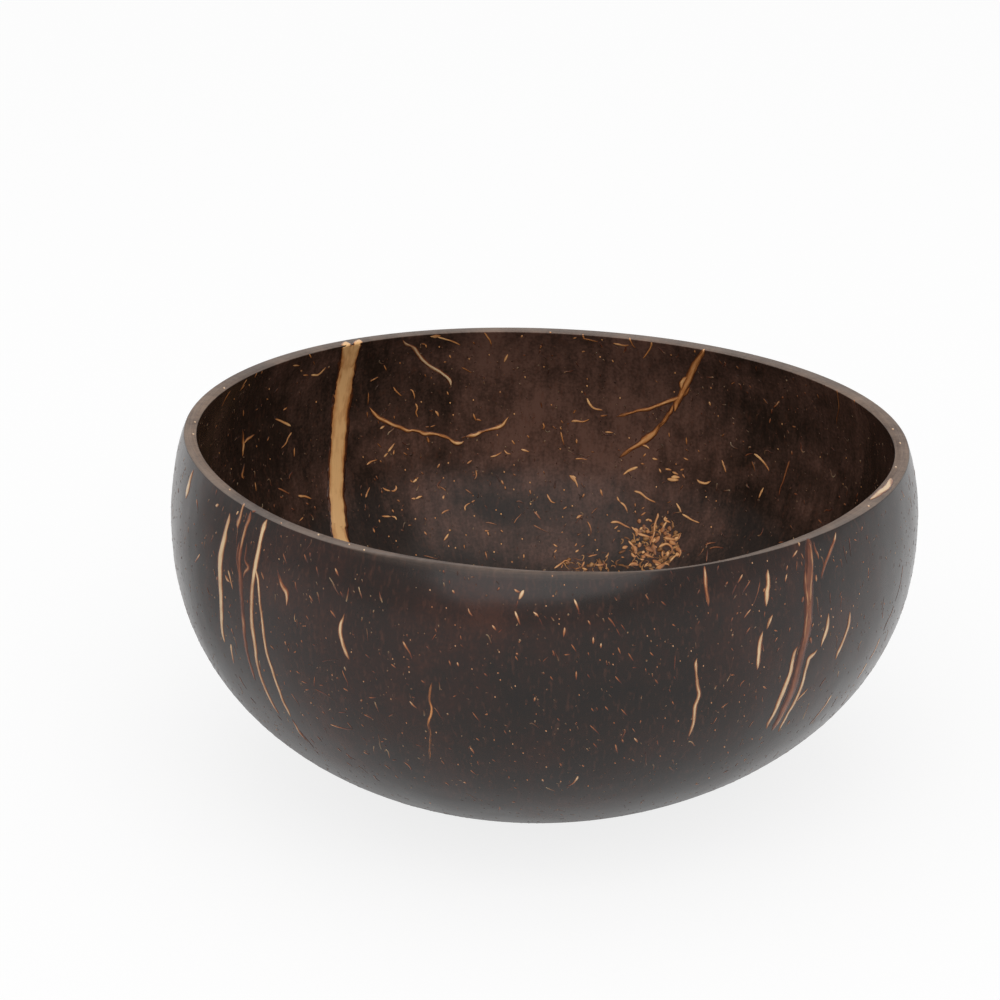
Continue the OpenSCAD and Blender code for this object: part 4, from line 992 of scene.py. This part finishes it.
def shell_material():
    """Endocarp of a ripe coconut, sanded and polished with oil.

    It is a black brown that turns redder in clouds, with a soft sheen outside and less inside."""
    material, tree = new_material("coconut_endocarp_oil_polished")
    place = node(tree, "ShaderNodeTexCoord").outputs["Object"]
    grain = node(tree, "ShaderNodeAttribute", attribute_name="grain").outputs["Vector"]
    inside, rim, warm = [node(tree, "ShaderNodeAttribute", attribute_name=mark).outputs["Fac"]
                         for mark in ("inside", "rim", "warm")]
    # Clouds of redder and blacker shell, about 14 mm across, that fray into 2 mm ones
    clouds = node(tree, "ShaderNodeTexNoise", {"Vector": place, "Scale": 1 / (14 * MM), "Detail": 5,
                                                "Roughness": 0.62, "Distortion": 0.4})
    # Fibre bundles below the surface draw streaks down the nut, 1.6 mm wide and 7 mm long
    long_grain = node(tree, "ShaderNodeVectorMath", {0: grain, 1: (1, 1, 0.22)}, operation="MULTIPLY")
    streaks = node(tree, "ShaderNodeTexNoise", {"Vector": long_grain, "Scale": 1 / 1.6,
                                                 "Detail": 3, "Roughness": 0.6})
    # Stone cells give it a fine grain. They are too small to show, so it is drawn at 0.5 mm
    cells = node(tree, "ShaderNodeTexNoise", {"Vector": place, "Scale": 1 / (0.5 * MM), "Detail": 2})
    blend = node(tree, "ShaderNodeMath", {0: clouds, 1: 0.62}, operation="MULTIPLY")
    for noise, weight in ((streaks, 0.22), (cells, 0.2)):
        blend = node(tree, "ShaderNodeMath", {0: noise, 1: weight, 2: blend},
                     operation="MULTIPLY_ADD")
    # Inside, the redder zones lift the colour into greyer pale stops: painted sheen on the back wall
    redder = node(tree, "ShaderNodeMath", {0: warm, 1: 0.16, 2: blend}, operation="MULTIPLY_ADD")
    outer = node(tree, "ShaderNodeValToRGB", {"Fac": redder}, stops=[
        (0.4, "#1b1411"), (0.52, "#241813"), (0.62, "#2e1b15"), (0.76, "#43251a")])
    # The inside's palest stops are greyed as painted sheen on the back wall
    inner = node(tree, "ShaderNodeValToRGB", {"Fac": redder}, stops=[
        (0.4, "#241a15"), (0.52, "#33261f"), (0.62, "#4f3930"), (0.74, "#705145")])
    faces = node(tree, "ShaderNodeMix", {0: inside, 6: outer, 7: inner}, data_type="RGBA")
    # Bundles that lie deeper show through the polish as faint red spots, 0.6 mm wide and 1.5 mm long
    buried = node(tree, "ShaderNodeVectorMath", {0: grain, 1: (1, 1, 0.4)}, operation="MULTIPLY")
    buried = node(tree, "ShaderNodeTexNoise", {"Vector": buried, "Scale": 1 / 0.6, "Detail": 1})
    spots = node(tree, "ShaderNodeMapRange", {"Value": buried, "From Min": 0.57,
                                               "From Max": 0.8, "To Min": 0, "To Max": 0.4})
    faces = node(tree, "ShaderNodeMix", {0: spots, 6: faces,
                                          7: colour("#5e3a2c")}, data_type="RGBA")
    # The rim is sanded along its length. Its scratches are finer than can show, so they are drawn
    # 0.12 mm wide and 8 mm long
    along_rim = node(tree, "ShaderNodeVectorMath", {0: grain, 1: (0.015, 0.015, 1)},
                     operation="MULTIPLY")
    scratches = node(tree, "ShaderNodeTexNoise", {"Vector": along_rim, "Scale": 1 / 0.12,
                                                   "Detail": 2})
    dusty = node(tree, "ShaderNodeMath", {0: scratches, 1: 0.35, 2: -0.175},
                 operation="MULTIPLY_ADD")
    dusty = node(tree, "ShaderNodeMath", {0: dusty, 1: blend}, operation="ADD")
    sawn = node(tree, "ShaderNodeValToRGB", {"Fac": dusty}, stops=[
        (0.32, "#4f3f36"), (0.52, "#7d6a5d"), (0.72, "#9d8674")])
    # The rim mark also brings painted light: it is fullest at the rim's left and right ends
    shades = node(tree, "ShaderNodeMix", {0: rim, 6: faces, 7: sawn}, data_type="RGBA")
    gloss = node(tree, "ShaderNodeMapRange", {"Value": clouds, "From Min": 0.3,
                                               "From Max": 0.7, "To Min": 0.2, "To Max": 0.28})
    roughness = node(tree, "ShaderNodeMix", {0: rim, 2: gloss, 3: 0.6})
    # The hollow was oiled and not polished, so it shines less than half as much
    shine = node(tree, "ShaderNodeMix", {0: inside, 2: 0.5, 3: 0.226})
    # Sanding leaves it faintly uneven: 7 mm waves, and the grain of its cells
    waves = node(tree, "ShaderNodeTexNoise", {"Vector": place, "Scale": 1 / (7 * MM), "Detail": 1})
    relief = node(tree, "ShaderNodeMath", {0: cells, 1: 0.035, 2: waves}, operation="MULTIPLY_ADD")
    bump = node(tree, "ShaderNodeBump", {"Height": relief, "Strength": 1, "Distance": 0.12 * MM})
    surface = node(tree, "ShaderNodeBsdfPrincipled", {
        "Base Color": shades, "Roughness": roughness, "IOR": POLISHED_IOR,
        "Specular IOR Level": shine, "Normal": bump})
    node(tree, "ShaderNodeOutputMaterial", {"Surface": surface})
    return material


# Fibre that lies just under the polished surface
SUNKEN = "#38241d"


def fibre_material(name, sheath, flesh, core):
    """Vascular bundle of the nut, cut open by sanding: a dark sheath round a paler core.

    Its threads run along it, which gives it the look of a sliver of straw."""
    material, tree = new_material(name)
    grain = node(tree, "ShaderNodeAttribute", attribute_name="grain").outputs["Vector"]
    edge, tone = [node(tree, "ShaderNodeAttribute", attribute_name=mark).outputs["Fac"]
                  for mark in ("edge", "tone")]
    # Lengthwise threads 0.35 mm wide and 4 mm long, and smudges 1.1 mm wide and 2.4 mm long
    threads = node(tree, "ShaderNodeVectorMath", {0: grain, 1: (1, 0.09, 1)}, operation="MULTIPLY")
    threads = node(tree, "ShaderNodeTexNoise", {"Vector": threads, "Scale": 1 / 0.35,
                                                 "Detail": 2, "Roughness": 0.6})
    smudges = node(tree, "ShaderNodeVectorMath", {0: grain, 1: (1, 0.45, 1)}, operation="MULTIPLY")
    smudges = node(tree, "ShaderNodeTexNoise", {"Vector": smudges, "Scale": 1 / 1.1, "Detail": 3})
    rind = node(tree, "ShaderNodeMath", {0: edge, 1: 2.5}, operation="POWER")
    pale = node(tree, "ShaderNodeMath", {0: rind, 1: -0.9, 2: tone}, operation="MULTIPLY_ADD")
    for noise, weight in ((threads, 0.55), (smudges, 0.9)):
        pale = node(tree, "ShaderNodeMath", {0: noise, 1: weight, 2: pale},
                    operation="MULTIPLY_ADD")
    pale = node(tree, "ShaderNodeMath", {0: pale, 1: 0.2}, operation="SUBTRACT")
    pale = node(tree, "ShaderNodeMath", {0: pale, 1: 0.5}, operation="MULTIPLY")
    shade = node(tree, "ShaderNodeValToRGB", {"Fac": pale}, stops=[
        (0.05, SUNKEN), (0.24, sheath), (0.48, flesh), (0.72, core)])
    bump = node(tree, "ShaderNodeBump", {"Height": threads, "Strength": 0.6, "Distance": 0.06 * MM})
    surface = node(tree, "ShaderNodeBsdfPrincipled", {
        "Base Color": shade, "Roughness": POLISHED_ROUGHNESS, "IOR": POLISHED_IOR,
        "Normal": bump})
    node(tree, "ShaderNodeOutputMaterial", {"Surface": surface})
    return material


FIBRES = {
    "pale_fibre": fibre_material("coconut_fibre_cream_sanded", "#7a4025", "#c08d62", "#eccba0"),
    "tan_fibre": fibre_material("coconut_fibre_ochre_sanded", "#6b3a1e", "#d2894e", "#ffc888"),
    "brown_fibre": fibre_material("coconut_fibre_red_brown_sanded", "#54291b", "#925637", "#c9996c"),
    "orange_fibre": fibre_material("coconut_fibre_orange_sanded", "#632e1d", "#b07046", "#eccba0"),
}
SHELL = shell_material()


def fleck_material(name, dive, *stops):
    """Strewn bits of fibre, which differ in hue and in depth. Dive is how far a tail darkens."""
    material, tree = new_material(name)
    along, hue, fade = [node(tree, "ShaderNodeAttribute", attribute_name=mark).outputs["Fac"]
                        for mark in ("along", "hue", "fade")]
    place = node(tree, "ShaderNodeMath", {0: hue, 1: 0.5, 2: -0.05}, operation="MULTIPLY_ADD")
    place = node(tree, "ShaderNodeMath", {0: along, 1: dive, 2: place}, operation="MULTIPLY_ADD")
    shade = node(tree, "ShaderNodeValToRGB", {"Fac": place}, stops=stops)
    sunk = node(tree, "ShaderNodeMix", {0: fade, 6: shade, 7: colour(SUNKEN)}, data_type="RGBA")
    surface = node(tree, "ShaderNodeBsdfPrincipled", {
        "Base Color": sunk, "Roughness": POLISHED_ROUGHNESS, "IOR": POLISHED_IOR})
    node(tree, "ShaderNodeOutputMaterial", {"Surface": surface})
    return material


# Ends and slips of bundles: cream where they are cut, red brown where they dive
FLECKS = fleck_material("coconut_fibre_flecks_sanded", 0.7, (0, "#dcc19a"), (0.3, "#b08964"),
                        (0.62, "#84492f"), (1, "#4c251b"))
# Fibre that clings to the inside, of one ochre
CLINGING = fleck_material("coconut_fibre_clinging", 0.1, (0, "#e0a468"), (0.25, "#bd8048"),
                          (0.5, "#8f5a34"))


# Flecks: short slips and ends of the finest bundles, all over both faces

# Section of a fleck: share of its half width, and height above the skin
FLECK_SECTION = np.array([(0, -0.06), (-1, -0.008), (0, 0.03), (1, -0.008)])


def fleck_shape(name, line, width):
    """One fleck, flat on z = 0, with its head first. Its points keep their height above the skin."""
    line = smooth_route(line, 2 if len(line) > 2 else 3)
    line = line - line.mean(0)
    ahead = np.gradient(line, axis=0)
    across = np.stack([-ahead[:, 1], ahead[:, 0]], -1) / length_of(ahead)[:, None]
    share = np.linspace(0, 1, len(line))
    # It is fullest near its head, and blunt at both ends
    full = np.clip(np.sin(np.pi * (0.08 + 0.84 * share)), 0, 1) ** 0.5
    half = width / 2 * full * (1.15 - 0.45 * share)
    spread = half[:, None] * FLECK_SECTION[:, 0]
    height = np.broadcast_to(FLECK_SECTION[:, 1], spread.shape)
    flat = line[:, None] + across[:, None] * spread[..., None]
    rings = np.concatenate([flat, height[..., None]], -1)
    along = np.broadcast_to(share[:, None], spread.shape)
    mesh = make_mesh(name, [loft(rings, lift=height * MM, along=along)])
    return bpy.data.objects.new(name, mesh)


def shape_set(name, shapes):
    """Collection of flecks, which the scatter picks from by their order."""
    made = bpy.data.collections.new(name)
    for number, (line, width) in enumerate(shapes):
        made.objects.link(fleck_shape(f"{name}_{number:02d}", line, width))
    return made


# Lines from head to tail and widths in millimetres, from dots to the longest slips
SLIPS = shape_set("slip", [
    ([(0, .17), (0, -.17)], .34),
    ([(0, .2), (.03, -.2)], .38),
    ([(0, .25), (.02, -.3)], .32),
    ([(0, .35), (.04, 0), (.02, -.4)], .3),
    ([(-.04, .45), (0, 0), (.06, -.5)], .33),
    ([(0, .6), (.06, 0), (0, -.7)], .3),
    ([(-.1, .7), (.03, .1), (.06, -.8)], .34),
    ([(.08, .8), (0, .1), (-.03, -.9)], .3),
    ([(-.25, .8), (.03, .5), (.08, -.3), (0, -1)], .32),
    ([(0, 1.2), (.1, .3), (.03, -.5), (.12, -1.5)], .3),
])
CURLS = shape_set("curl", [
    ([(0, .2), (0, -.2)], .42),
    ([(0, .25), (.05, -.25)], .36),
    ([(0, .35), (.03, -.35)], .3),
    ([(-.05, .5), (.05, 0), (0, -.5)], .32),
    ([(0, .6), (-.06, .1), (.06, -.7)], .34),
    ([(-.2, .5), (.08, .3), (.1, -.3), (0, -.7)], .3),
    ([(.35, .5), (.05, .4), (-.1, -.2), (.05, -.8)], .3),
    ([(0, .9), (.12, .4), (-.05, -.3), (.1, -1.1)], .3),
    ([(-.5, .4), (-.1, .5), (.15, .1), (.1, -.5), (.3, -.9)], .28),
])
DOTS = shape_set("dot", [
    ([(0, .13), (0, -.13)], .28),
    ([(0, .16), (.02, -.16)], .34),
    ([(0, .2), (.03, -.2)], .26),
    ([(0, .3), (.04, 0), (0, -.35)], .24),
])
# Flat dabs and strokes, of which the net of clinging fibre is made
DABS = shape_set("dab", [
    ([(0, .5), (.1, -.5)], 1.2),
    ([(-.1, .6), (.1, 0), (0, -.7)], 1.0),
    ([(-.2, .8), (0, .1), (.2, -.8)], .9),
    ([(0, .9), (.15, 0), (-.1, -1)], .8),
    ([(-.4, .8), (0, .3), (.1, -.5), (.4, -.9)], .75),
    ([(-.6, .6), (0, .6), (.3, 0), (.1, -.8)], .6),
    ([(0, 1.2), (.1, .3), (-.1, -.4), (.2, -1.3)], .6),
    ([(0, .6), (0, -.6)], 1.5),
])


def scatter_tree():
    """Strews the shapes of a collection over a wall and lays each on its skin."""
    tree = bpy.data.node_groups.new("strew_fibre_flecks", "GeometryNodeTree")
    for name, kind in [("Wall", "Geometry"), ("Where", "String"), ("Per Square Metre", "Float"),
                       ("Shapes", "Collection"), ("Shape Count", "Float"), ("Favour Small", "Float"),
                       ("Swing", "Float"), ("Turned Over", "Float"), ("Size Low", "Float"),
                       ("Size High", "Float"), ("Layers", "Float"), ("Fade Low", "Float"),
                       ("Fade High", "Float"), ("Seed", "Int"), ("Finish", "Material")]:
        tree.interface.new_socket(name, in_out="INPUT", socket_type=f"NodeSocket{kind}")
    tree.interface.new_socket("Flecks", in_out="OUTPUT", socket_type="NodeSocketGeometry")
    given = node(tree, "NodeGroupInput").outputs

    # A random number of each fleck for each use, every one with a seed of its own
    uses = [("swing", -0.5, 0.5), ("more swing", -0.5, 0.5), ("over", 0.0, 1.0), ("shape", 0.0, 1.0),
            ("size", given["Size Low"], given["Size High"]), ("hue", 0.0, 1.0),
            ("fade", given["Fade Low"], given["Fade High"]), ("layer", 1.0, given["Layers"])]
    chance = {}
    for number, (use, low, high) in enumerate(uses, 1):
        seed = node(tree, "ShaderNodeMath", {0: given["Seed"], 1: number}, operation="ADD")
        chance[use] = node(tree, "FunctionNodeRandomValue", {"Min": low, "Max": high, "Seed": seed},
                           data_type="FLOAT")

    where = node(tree, "GeometryNodeInputNamedAttribute", {"Name": given["Where"]}, data_type="FLOAT")
    density = node(tree, "ShaderNodeMath", {0: where, 1: given["Per Square Metre"]},
                   operation="MULTIPLY")
    points = node(tree, "GeometryNodeDistributePointsOnFaces", {
        "Mesh": given["Wall"], "Density": density, "Seed": given["Seed"]},
        distribute_method="RANDOM")

    # Each fleck lies along the lean of the wall there, swung to either side or turned over
    lean = node(tree, "GeometryNodeInputNamedAttribute", {"Name": "lean"}, data_type="FLOAT_VECTOR")
    upright = node(tree, "FunctionNodeAlignRotationToVector",
                   {"Vector": points.outputs["Normal"]}, axis="Z")
    leaning = node(tree, "FunctionNodeAlignRotationToVector",
                   {"Rotation": upright, "Vector": lean}, axis="Y", pivot_axis="Z")
    both = node(tree, "ShaderNodeMath", {0: chance["swing"], 1: chance["more swing"]}, operation="ADD")
    angle = node(tree, "ShaderNodeMath", {0: both, 1: given["Swing"]}, operation="MULTIPLY")
    over = node(tree, "ShaderNodeMath", {0: chance["over"], 1: given["Turned Over"]},
                operation="LESS_THAN")
    angle = node(tree, "ShaderNodeMath", {0: over, 1: math.pi, 2: angle}, operation="MULTIPLY_ADD")
    swing = node(tree, "FunctionNodeAxisAngleToRotation", {"Axis": (0, 0, 1), "Angle": angle})
    turned = node(tree, "FunctionNodeRotateRotation",
                  {"Rotation": leaning, "Rotate By": swing},
                  rotation_space="LOCAL")

    shapes = node(tree, "GeometryNodeCollectionInfo",
                  {"Collection": given["Shapes"], "Separate Children": True, "Reset Children": True})
    pick = node(tree, "ShaderNodeMath", {0: chance["shape"], 1: given["Favour Small"]}, operation="POWER")
    pick = node(tree, "ShaderNodeMath", {0: given["Shape Count"], 1: pick}, operation="MULTIPLY")
    pick = node(tree, "ShaderNodeMath", {0: pick}, operation="FLOOR")
    marked = node(tree, "GeometryNodeInstanceOnPoints", {
        "Points": points.outputs["Points"], "Instance": shapes, "Pick Instance": True,
        "Instance Index": pick, "Rotation": turned, "Scale": chance["size"]})
    for mark in ("hue", "fade", "layer"):
        marked = node(tree, "GeometryNodeStoreNamedAttribute", {
            "Geometry": marked, "Name": mark, "Value": chance[mark]},
            data_type="FLOAT", domain="INSTANCE")
    real = node(tree, "GeometryNodeRealizeInstances", {"Geometry": marked})

    # Every point moves to the wall's nearest one, raised by its height above the skin
    nearest = node(tree, "GeometryNodeProximity", {0: given["Wall"]}, target_element="FACES")
    normal = node(tree, "GeometryNodeInputNormal")
    outward = node(tree, "GeometryNodeSampleNearestSurface",
               {"Mesh": given["Wall"], "Value": normal}, data_type="FLOAT_VECTOR")
    lift = node(tree, "GeometryNodeInputNamedAttribute", {"Name": "lift"}, data_type="FLOAT")
    layer = node(tree, "GeometryNodeInputNamedAttribute", {"Name": "layer"}, data_type="FLOAT")
    height = node(tree, "ShaderNodeMath", {0: lift, 1: layer}, operation="MULTIPLY")
    raised = node(tree, "ShaderNodeVectorMath", {0: outward, "Scale": height}, operation="SCALE")
    laid = node(tree, "ShaderNodeVectorMath", {0: nearest, 1: raised}, operation="ADD")
    moved = node(tree, "GeometryNodeSetPosition", {"Geometry": real, "Position": laid})
    finished = node(tree, "GeometryNodeSetMaterial",
                    {"Geometry": moved, "Material": given["Finish"]})
    node(tree, "NodeGroupOutput", {"Flecks": finished})
    return tree


STREW = scatter_tree()


def strew(name, guide, slot, material, replaced=(), **values):
    """A piece made of flecks strewn over the guide wall."""
    holder = bpy.data.objects.new(name + "_holder", guide)
    bpy.context.scene.collection.objects.link(holder)
    modifier = holder.modifiers.new("strew", "NODES")
    modifier.node_group = STREW
    values["Finish"] = material
    ids = {given.name: given.identifier for given in STREW.interface.items_tree
           if given.in_out == "INPUT"}
    for key, value in values.items():
        modifier[ids[key.replace("_", " ")]] = value
    evaluated = holder.evaluated_get(bpy.context.evaluated_depsgraph_get())
    mesh = bpy.data.meshes.new_from_object(evaluated)
    mesh.name = name
    bpy.data.objects.remove(holder)
    for extra in ("lean", "outer_face", "inner_face", "outside", "inside_wall", "net", "inside",
                  "rim", "warm", "grain", "lift", "layer"):
        if extra in mesh.attributes:
            mesh.attributes.remove(mesh.attributes[extra])
    # Nothing under the foot reaches into the table
    points = np.empty(len(mesh.vertices) * 3, np.float32)
    mesh.vertices.foreach_get("co", points)
    points[2::3] = np.maximum(points[2::3], 0)
    mesh.vertices.foreach_set("co", points)
    mesh.polygons.foreach_set("use_smooth", [True] * len(mesh.polygons))
    add_piece(name, mesh, material, slot, *replaced)


# How far the slips lean off the line from rim to foot at most, in degrees, at what turn, and how
# far round that reaches
LEAN, LEAN_TURN, LEAN_SPREAD = 25, -95, 28
# Share of the strewn slips that stays where the photograph's own are traced
SEEN_SHARE = 0.25
# Climbs of either face between which flecks are strewn
LOWEST_FLECK, HIGHEST_FLECK = 0.02, 0.985
# Where fibre still clings to the inside: turn, climb, reach round and up in degrees of turn
# and share of climb, and how thick it lies
NET_PATCHES = [(66.5, .555, 5.4, .056, 1), (72.5, .545, 2.5, .04, .5), (76, .487, 10, .018, .5)]


def in_sight(points):
    """Whether the camera sees each of the points."""
    shown = []
    for point in points.reshape(-1, 3):
        way = Vector(point) - CAMERA_AT
        shown.append(SKIN.ray_cast(CAMERA_AT, way.normalized(), way.length - 0.5)[0] is None)
    return np.reshape(shown, points.shape[:-1])


def guide_wall():
    """Copy of the shell's mesh that says where flecks lie, and which way."""
    mesh = shell_mesh.copy()
    turns, climbs = shell_turns, shell_climbs
    rings = shell_points[:-2].reshape(*turns.shape, 3)
    along = np.roll(rings, -1, 1) - np.roll(rings, 1, 1)
    up = np.gradient(rings, axis=0)
    is_inside = shell_marks["inside"][:-2].reshape(turns.shape)
    up = up * np.where(is_inside > 0.5, -1, 1)[..., None]
    along, up = along / length_of(along)[..., None], up / np.maximum(length_of(up), 1e-6)[..., None]
    leaning = LEAN * np.exp(-(apart(turns, LEAN_TURN) / LEAN_SPREAD) ** 2)
    tilt = np.radians(np.where(is_inside > 0.5, 0, leaning))[..., None]
    lean = up * np.cos(tilt) - along * np.sin(tilt)
    on_face = (climbs > LOWEST_FLECK) & (climbs < HIGHEST_FLECK)
    untraced = np.where(in_sight(rings), SEEN_SHARE, 1)
    add_mark(mesh, "lean", np.concatenate([lean.reshape(-1, 3), [(0, 1, 0), (0, 1, 0)]]))
    for name, share in [("outer_face", on_face * (is_inside < 0.5)),
                        ("inner_face", on_face * (is_inside > 0.5)),
                        ("outside", on_face * (is_inside < 0.5) * untraced),
                        ("inside_wall", on_face * (is_inside > 0.5) * untraced),
                        ("net", net_share(turns, climbs) * (is_inside > 0.5))]:
        add_mark(mesh, name, np.append(share.ravel(), (0, 0)))
    return mesh


def net_share(turn, climb):
    share = np.zeros(turn.shape)
    for at_turn, at_climb, wide, high, thick in NET_PATCHES:
        off = np.hypot(apart(turn, at_turn) / wide, (climb - at_climb) / high)
        share = np.maximum(share, thick * (1 - smooth_step(0.75, 1.1, off)))
    return share


# The pieces

add_piece("half_shell", shell_mesh, SHELL, "shell", "shell")

for number, (name, (slot, routes)) in enumerate(STRANDS.items()):
    slivers = []
    for seed, route in enumerate(routes, number * 10):
        hidden = HIDDEN_ENDS.get(name) if route is routes[-1] else None
        slivers += strand(route, seed, hidden)
    add_piece(name + "_open", make_mesh(name + "_open", slivers), FIBRES[slot], slot, name)
for look, (slot, width, head, tail) in SLIP_LOOKS.items():
    name = "slips_" + look.replace(" ", "_")
    slips = [slip(pixels, width, head, tail, seed) for seed, pixels in enumerate(SLIPS_SEEN[look])]
    # A round end is a slip two pixels long
    slips += [slip((x, y - 1, x + 0.4, y + 1), width, head, head, seed)
              for seed, (x, y) in enumerate(ENDS_SEEN.get(look, []), 500)]
    add_piece(name, make_mesh(name, slips), FIBRES[slot], slot)

guide = guide_wall()
strew("fibre_flecks_outside", guide, "pale_fibre", FLECKS, Where="outside",
      Per_Square_Metre=1.0e5, Shapes=SLIPS, Shape_Count=10, Favour_Small=1.3, Swing=0.7,
      Turned_Over=0.2, Size_Low=0.8, Size_High=1.35, Layers=1.0, Fade_Low=0.1, Fade_High=0.95, Seed=3)
strew("fibre_flecks_inside", guide, "tan_fibre", FLECKS, Where="inside_wall",
      Per_Square_Metre=1.0e5, Shapes=CURLS, Shape_Count=9, Favour_Small=1.3, Swing=2.4,
      Turned_Over=0.5, Size_Low=0.8, Size_High=1.4, Layers=1.0, Fade_Low=0.1, Fade_High=0.95, Seed=5)
for name, face in [("fibre_dots_outside", "outer_face"), ("fibre_dots_inside", "inner_face")]:
    strew(name, guide, "tan_fibre", FLECKS, Where=face, Per_Square_Metre=1.5e5, Shapes=DOTS,
          Shape_Count=4, Favour_Small=1.0, Swing=1.5, Turned_Over=0.3, Size_Low=0.7, Size_High=1.2,
          Layers=1.0, Fade_Low=0.3, Fade_High=1.0, Seed=11)
strew("fibre_net", guide, "tan_fibre", CLINGING, replaced=("inner_fibre_patch",), Where="net",
      Per_Square_Metre=1.1e6, Shapes=DABS, Shape_Count=8, Favour_Small=1.0, Swing=3.1,
      Turned_Over=0.5, Size_Low=0.5, Size_High=0.9, Layers=1.0, Fade_Low=0.1, Fade_High=0.4, Seed=8)
strew("fibre_net_threads", guide, "tan_fibre", CLINGING, Where="net",
      Per_Square_Metre=7.0e5, Shapes=CURLS, Shape_Count=9, Favour_Small=0.8, Swing=3.1,
      Turned_Over=0.5, Size_Low=0.6, Size_High=1.0, Layers=2.2, Fade_Low=0.0, Fade_High=0.3, Seed=21)


# The stage: a white table, and soft light from all round

# Radius of the table, and what the lights are aimed at, in metres
TABLE_R = 8
BOWL_CENTRE = Vector((0, 0, 0.03))


def background_ray(tree):
    """1 for the rays that should meet the white of the backdrop, and 0 for those that light."""
    rays = node(tree, "ShaderNodeLightPath").outputs
    either = node(tree, "ShaderNodeMath", {0: rays["Is Camera Ray"], 1: rays["Is Glossy Ray"]},
                  operation="MAXIMUM")
    return node(tree, "ShaderNodeMath", {0: either, 1: rays["Is Transmission Ray"]},
                operation="MAXIMUM")


def add_stage():
    """Table painted a matt white, which shows no gloss and keeps the bowl's shadow.

    How light the bowl's polish mirrors it is set apart from how light it looks, as a painted reflection
    with painted shade at the bowl's foot."""
    material, tree = new_material("white_table_paint_matt")
    seen_ray = background_ray(tree)
    # Painted reflection: in the polish it is dark at the left of the bowl and light at the right
    place = node(tree, "ShaderNodeTexCoord").outputs["Object"]
    along = node(tree, "ShaderNodeVectorMath", {0: place, 1: (1, 1.3, 0)}, operation="DOT_PRODUCT")
    lit = node(tree, "ShaderNodeMapRange", {"Value": along, "From Min": -0.07,
                                             "From Max": 0.01, "To Min": 0.3, "To Max": 0.79})
    # Painted reflection: it is light again all along the front
    fore = node(tree, "ShaderNodeVectorMath", {0: place, 1: (0, 1, 0)}, operation="DOT_PRODUCT")
    fore = node(tree, "ShaderNodeMapRange", {"Value": fore, "From Min": 0.07,
                                              "From Max": -0.03, "To Min": 0, "To Max": 0.7})
    lit = node(tree, "ShaderNodeMath", {0: lit, 1: fore}, operation="MAXIMUM")
    # Painted shade: in the polish the table is darker at the bowl's foot
    reach = node(tree, "ShaderNodeVectorMath", {0: place}, operation="LENGTH")
    painted_foot_shade = node(tree, "ShaderNodeMapRange", {"Value": reach, "From Min": 0.03,
                                                    "From Max": 0.068, "To Min": 0.62, "To Max": 1})
    lit = node(tree, "ShaderNodeMath", {0: lit, 1: painted_foot_shade}, operation="MULTIPLY")
    mirrored = node(tree, "ShaderNodeLightPath").outputs["Is Glossy Ray"]
    level = node(tree, "ShaderNodeMix", {0: mirrored, 2: 0.82, 3: lit})
    paint = node(tree, "ShaderNodeBsdfDiffuse", {"Color": colour("#e7e7e7")})
    # What the camera sees is part white glow, and part paint that takes the bowl's shadow
    thin_paint = node(tree, "ShaderNodeBsdfDiffuse", {"Color": colour("#818181")})
    glow = node(tree, "ShaderNodeEmission", {"Color": colour("#ffffff"), "Strength": level})
    white = node(tree, "ShaderNodeAddShader", {0: thin_paint, 1: glow})
    surface = node(tree, "ShaderNodeMixShader", {0: seen_ray, 1: paint, 2: white})
    node(tree, "ShaderNodeOutputMaterial", {"Surface": surface})
    mesh = bpy.data.meshes.new("table")
    corners = np.radians(np.arange(0, 360, 6))
    ring = np.stack([np.cos(corners), np.sin(corners), np.zeros(corners.shape)], -1) * TABLE_R
    mesh.from_pydata(ring.tolist(), [], [list(range(len(ring)))])
    mesh.materials.append(material)
    table = bpy.data.objects.new("table", mesh)
    bpy.context.scene.collection.objects.link(table)


def add_world():
    world = bpy.data.worlds.new("white_studio")
    bpy.context.scene.world = world
    world.use_nodes = True
    tree = world.node_tree
    tree.nodes.clear()
    seen_ray = background_ray(tree)
    mirrored = node(tree, "ShaderNodeLightPath").outputs["Is Glossy Ray"]
    # The room is white behind the bowl, and darker above it and towards the photographer, as the
    # gloss shows
    way = node(tree, "ShaderNodeTexCoord").outputs["Generated"]
    behind = node(tree, "ShaderNodeSeparateXYZ", {"Vector": way}).outputs["Y"]
    room = node(tree, "ShaderNodeMapRange", {"Value": behind, "From Min": 0.55, "From Max": 0.8,
                                              "To Min": 0.6, "To Max": 1.0})
    level = node(tree, "ShaderNodeMix", {0: seen_ray, 2: 0.42, 3: 1.0})
    level = node(tree, "ShaderNodeMix", {0: mirrored, 2: level, 3: room})
    back = node(tree, "ShaderNodeBackground", {"Color": colour("#ffffff"), "Strength": level})
    node(tree, "ShaderNodeOutputWorld", {"Surface": back})


def add_light(name, place, size, power):
    """Softbox that faces the bowl. Place and size in metres, power in watts."""
    data = bpy.data.lights.new(name, "AREA")
    data.shape = "RECTANGLE"
    data.size, data.size_y = size
    data.energy = power
    light = bpy.data.objects.new(name, data)
    light.location = place
    light.rotation_mode = "QUATERNION"
    towards = BOWL_CENTRE - Vector(place)
    light.rotation_quaternion = towards.to_track_quat("-Z", "Y")
    bpy.context.scene.collection.objects.link(light)


add_stage()
add_world()
add_light("softbox_front", (0.1, -1.5, 1.6), (2.6, 2.2), 24)
add_light("softbox_above", (0, 0.3, 1.9), (1.6, 1.6), 5)
bpy.context.scene.view_settings.view_transform = "Standard"
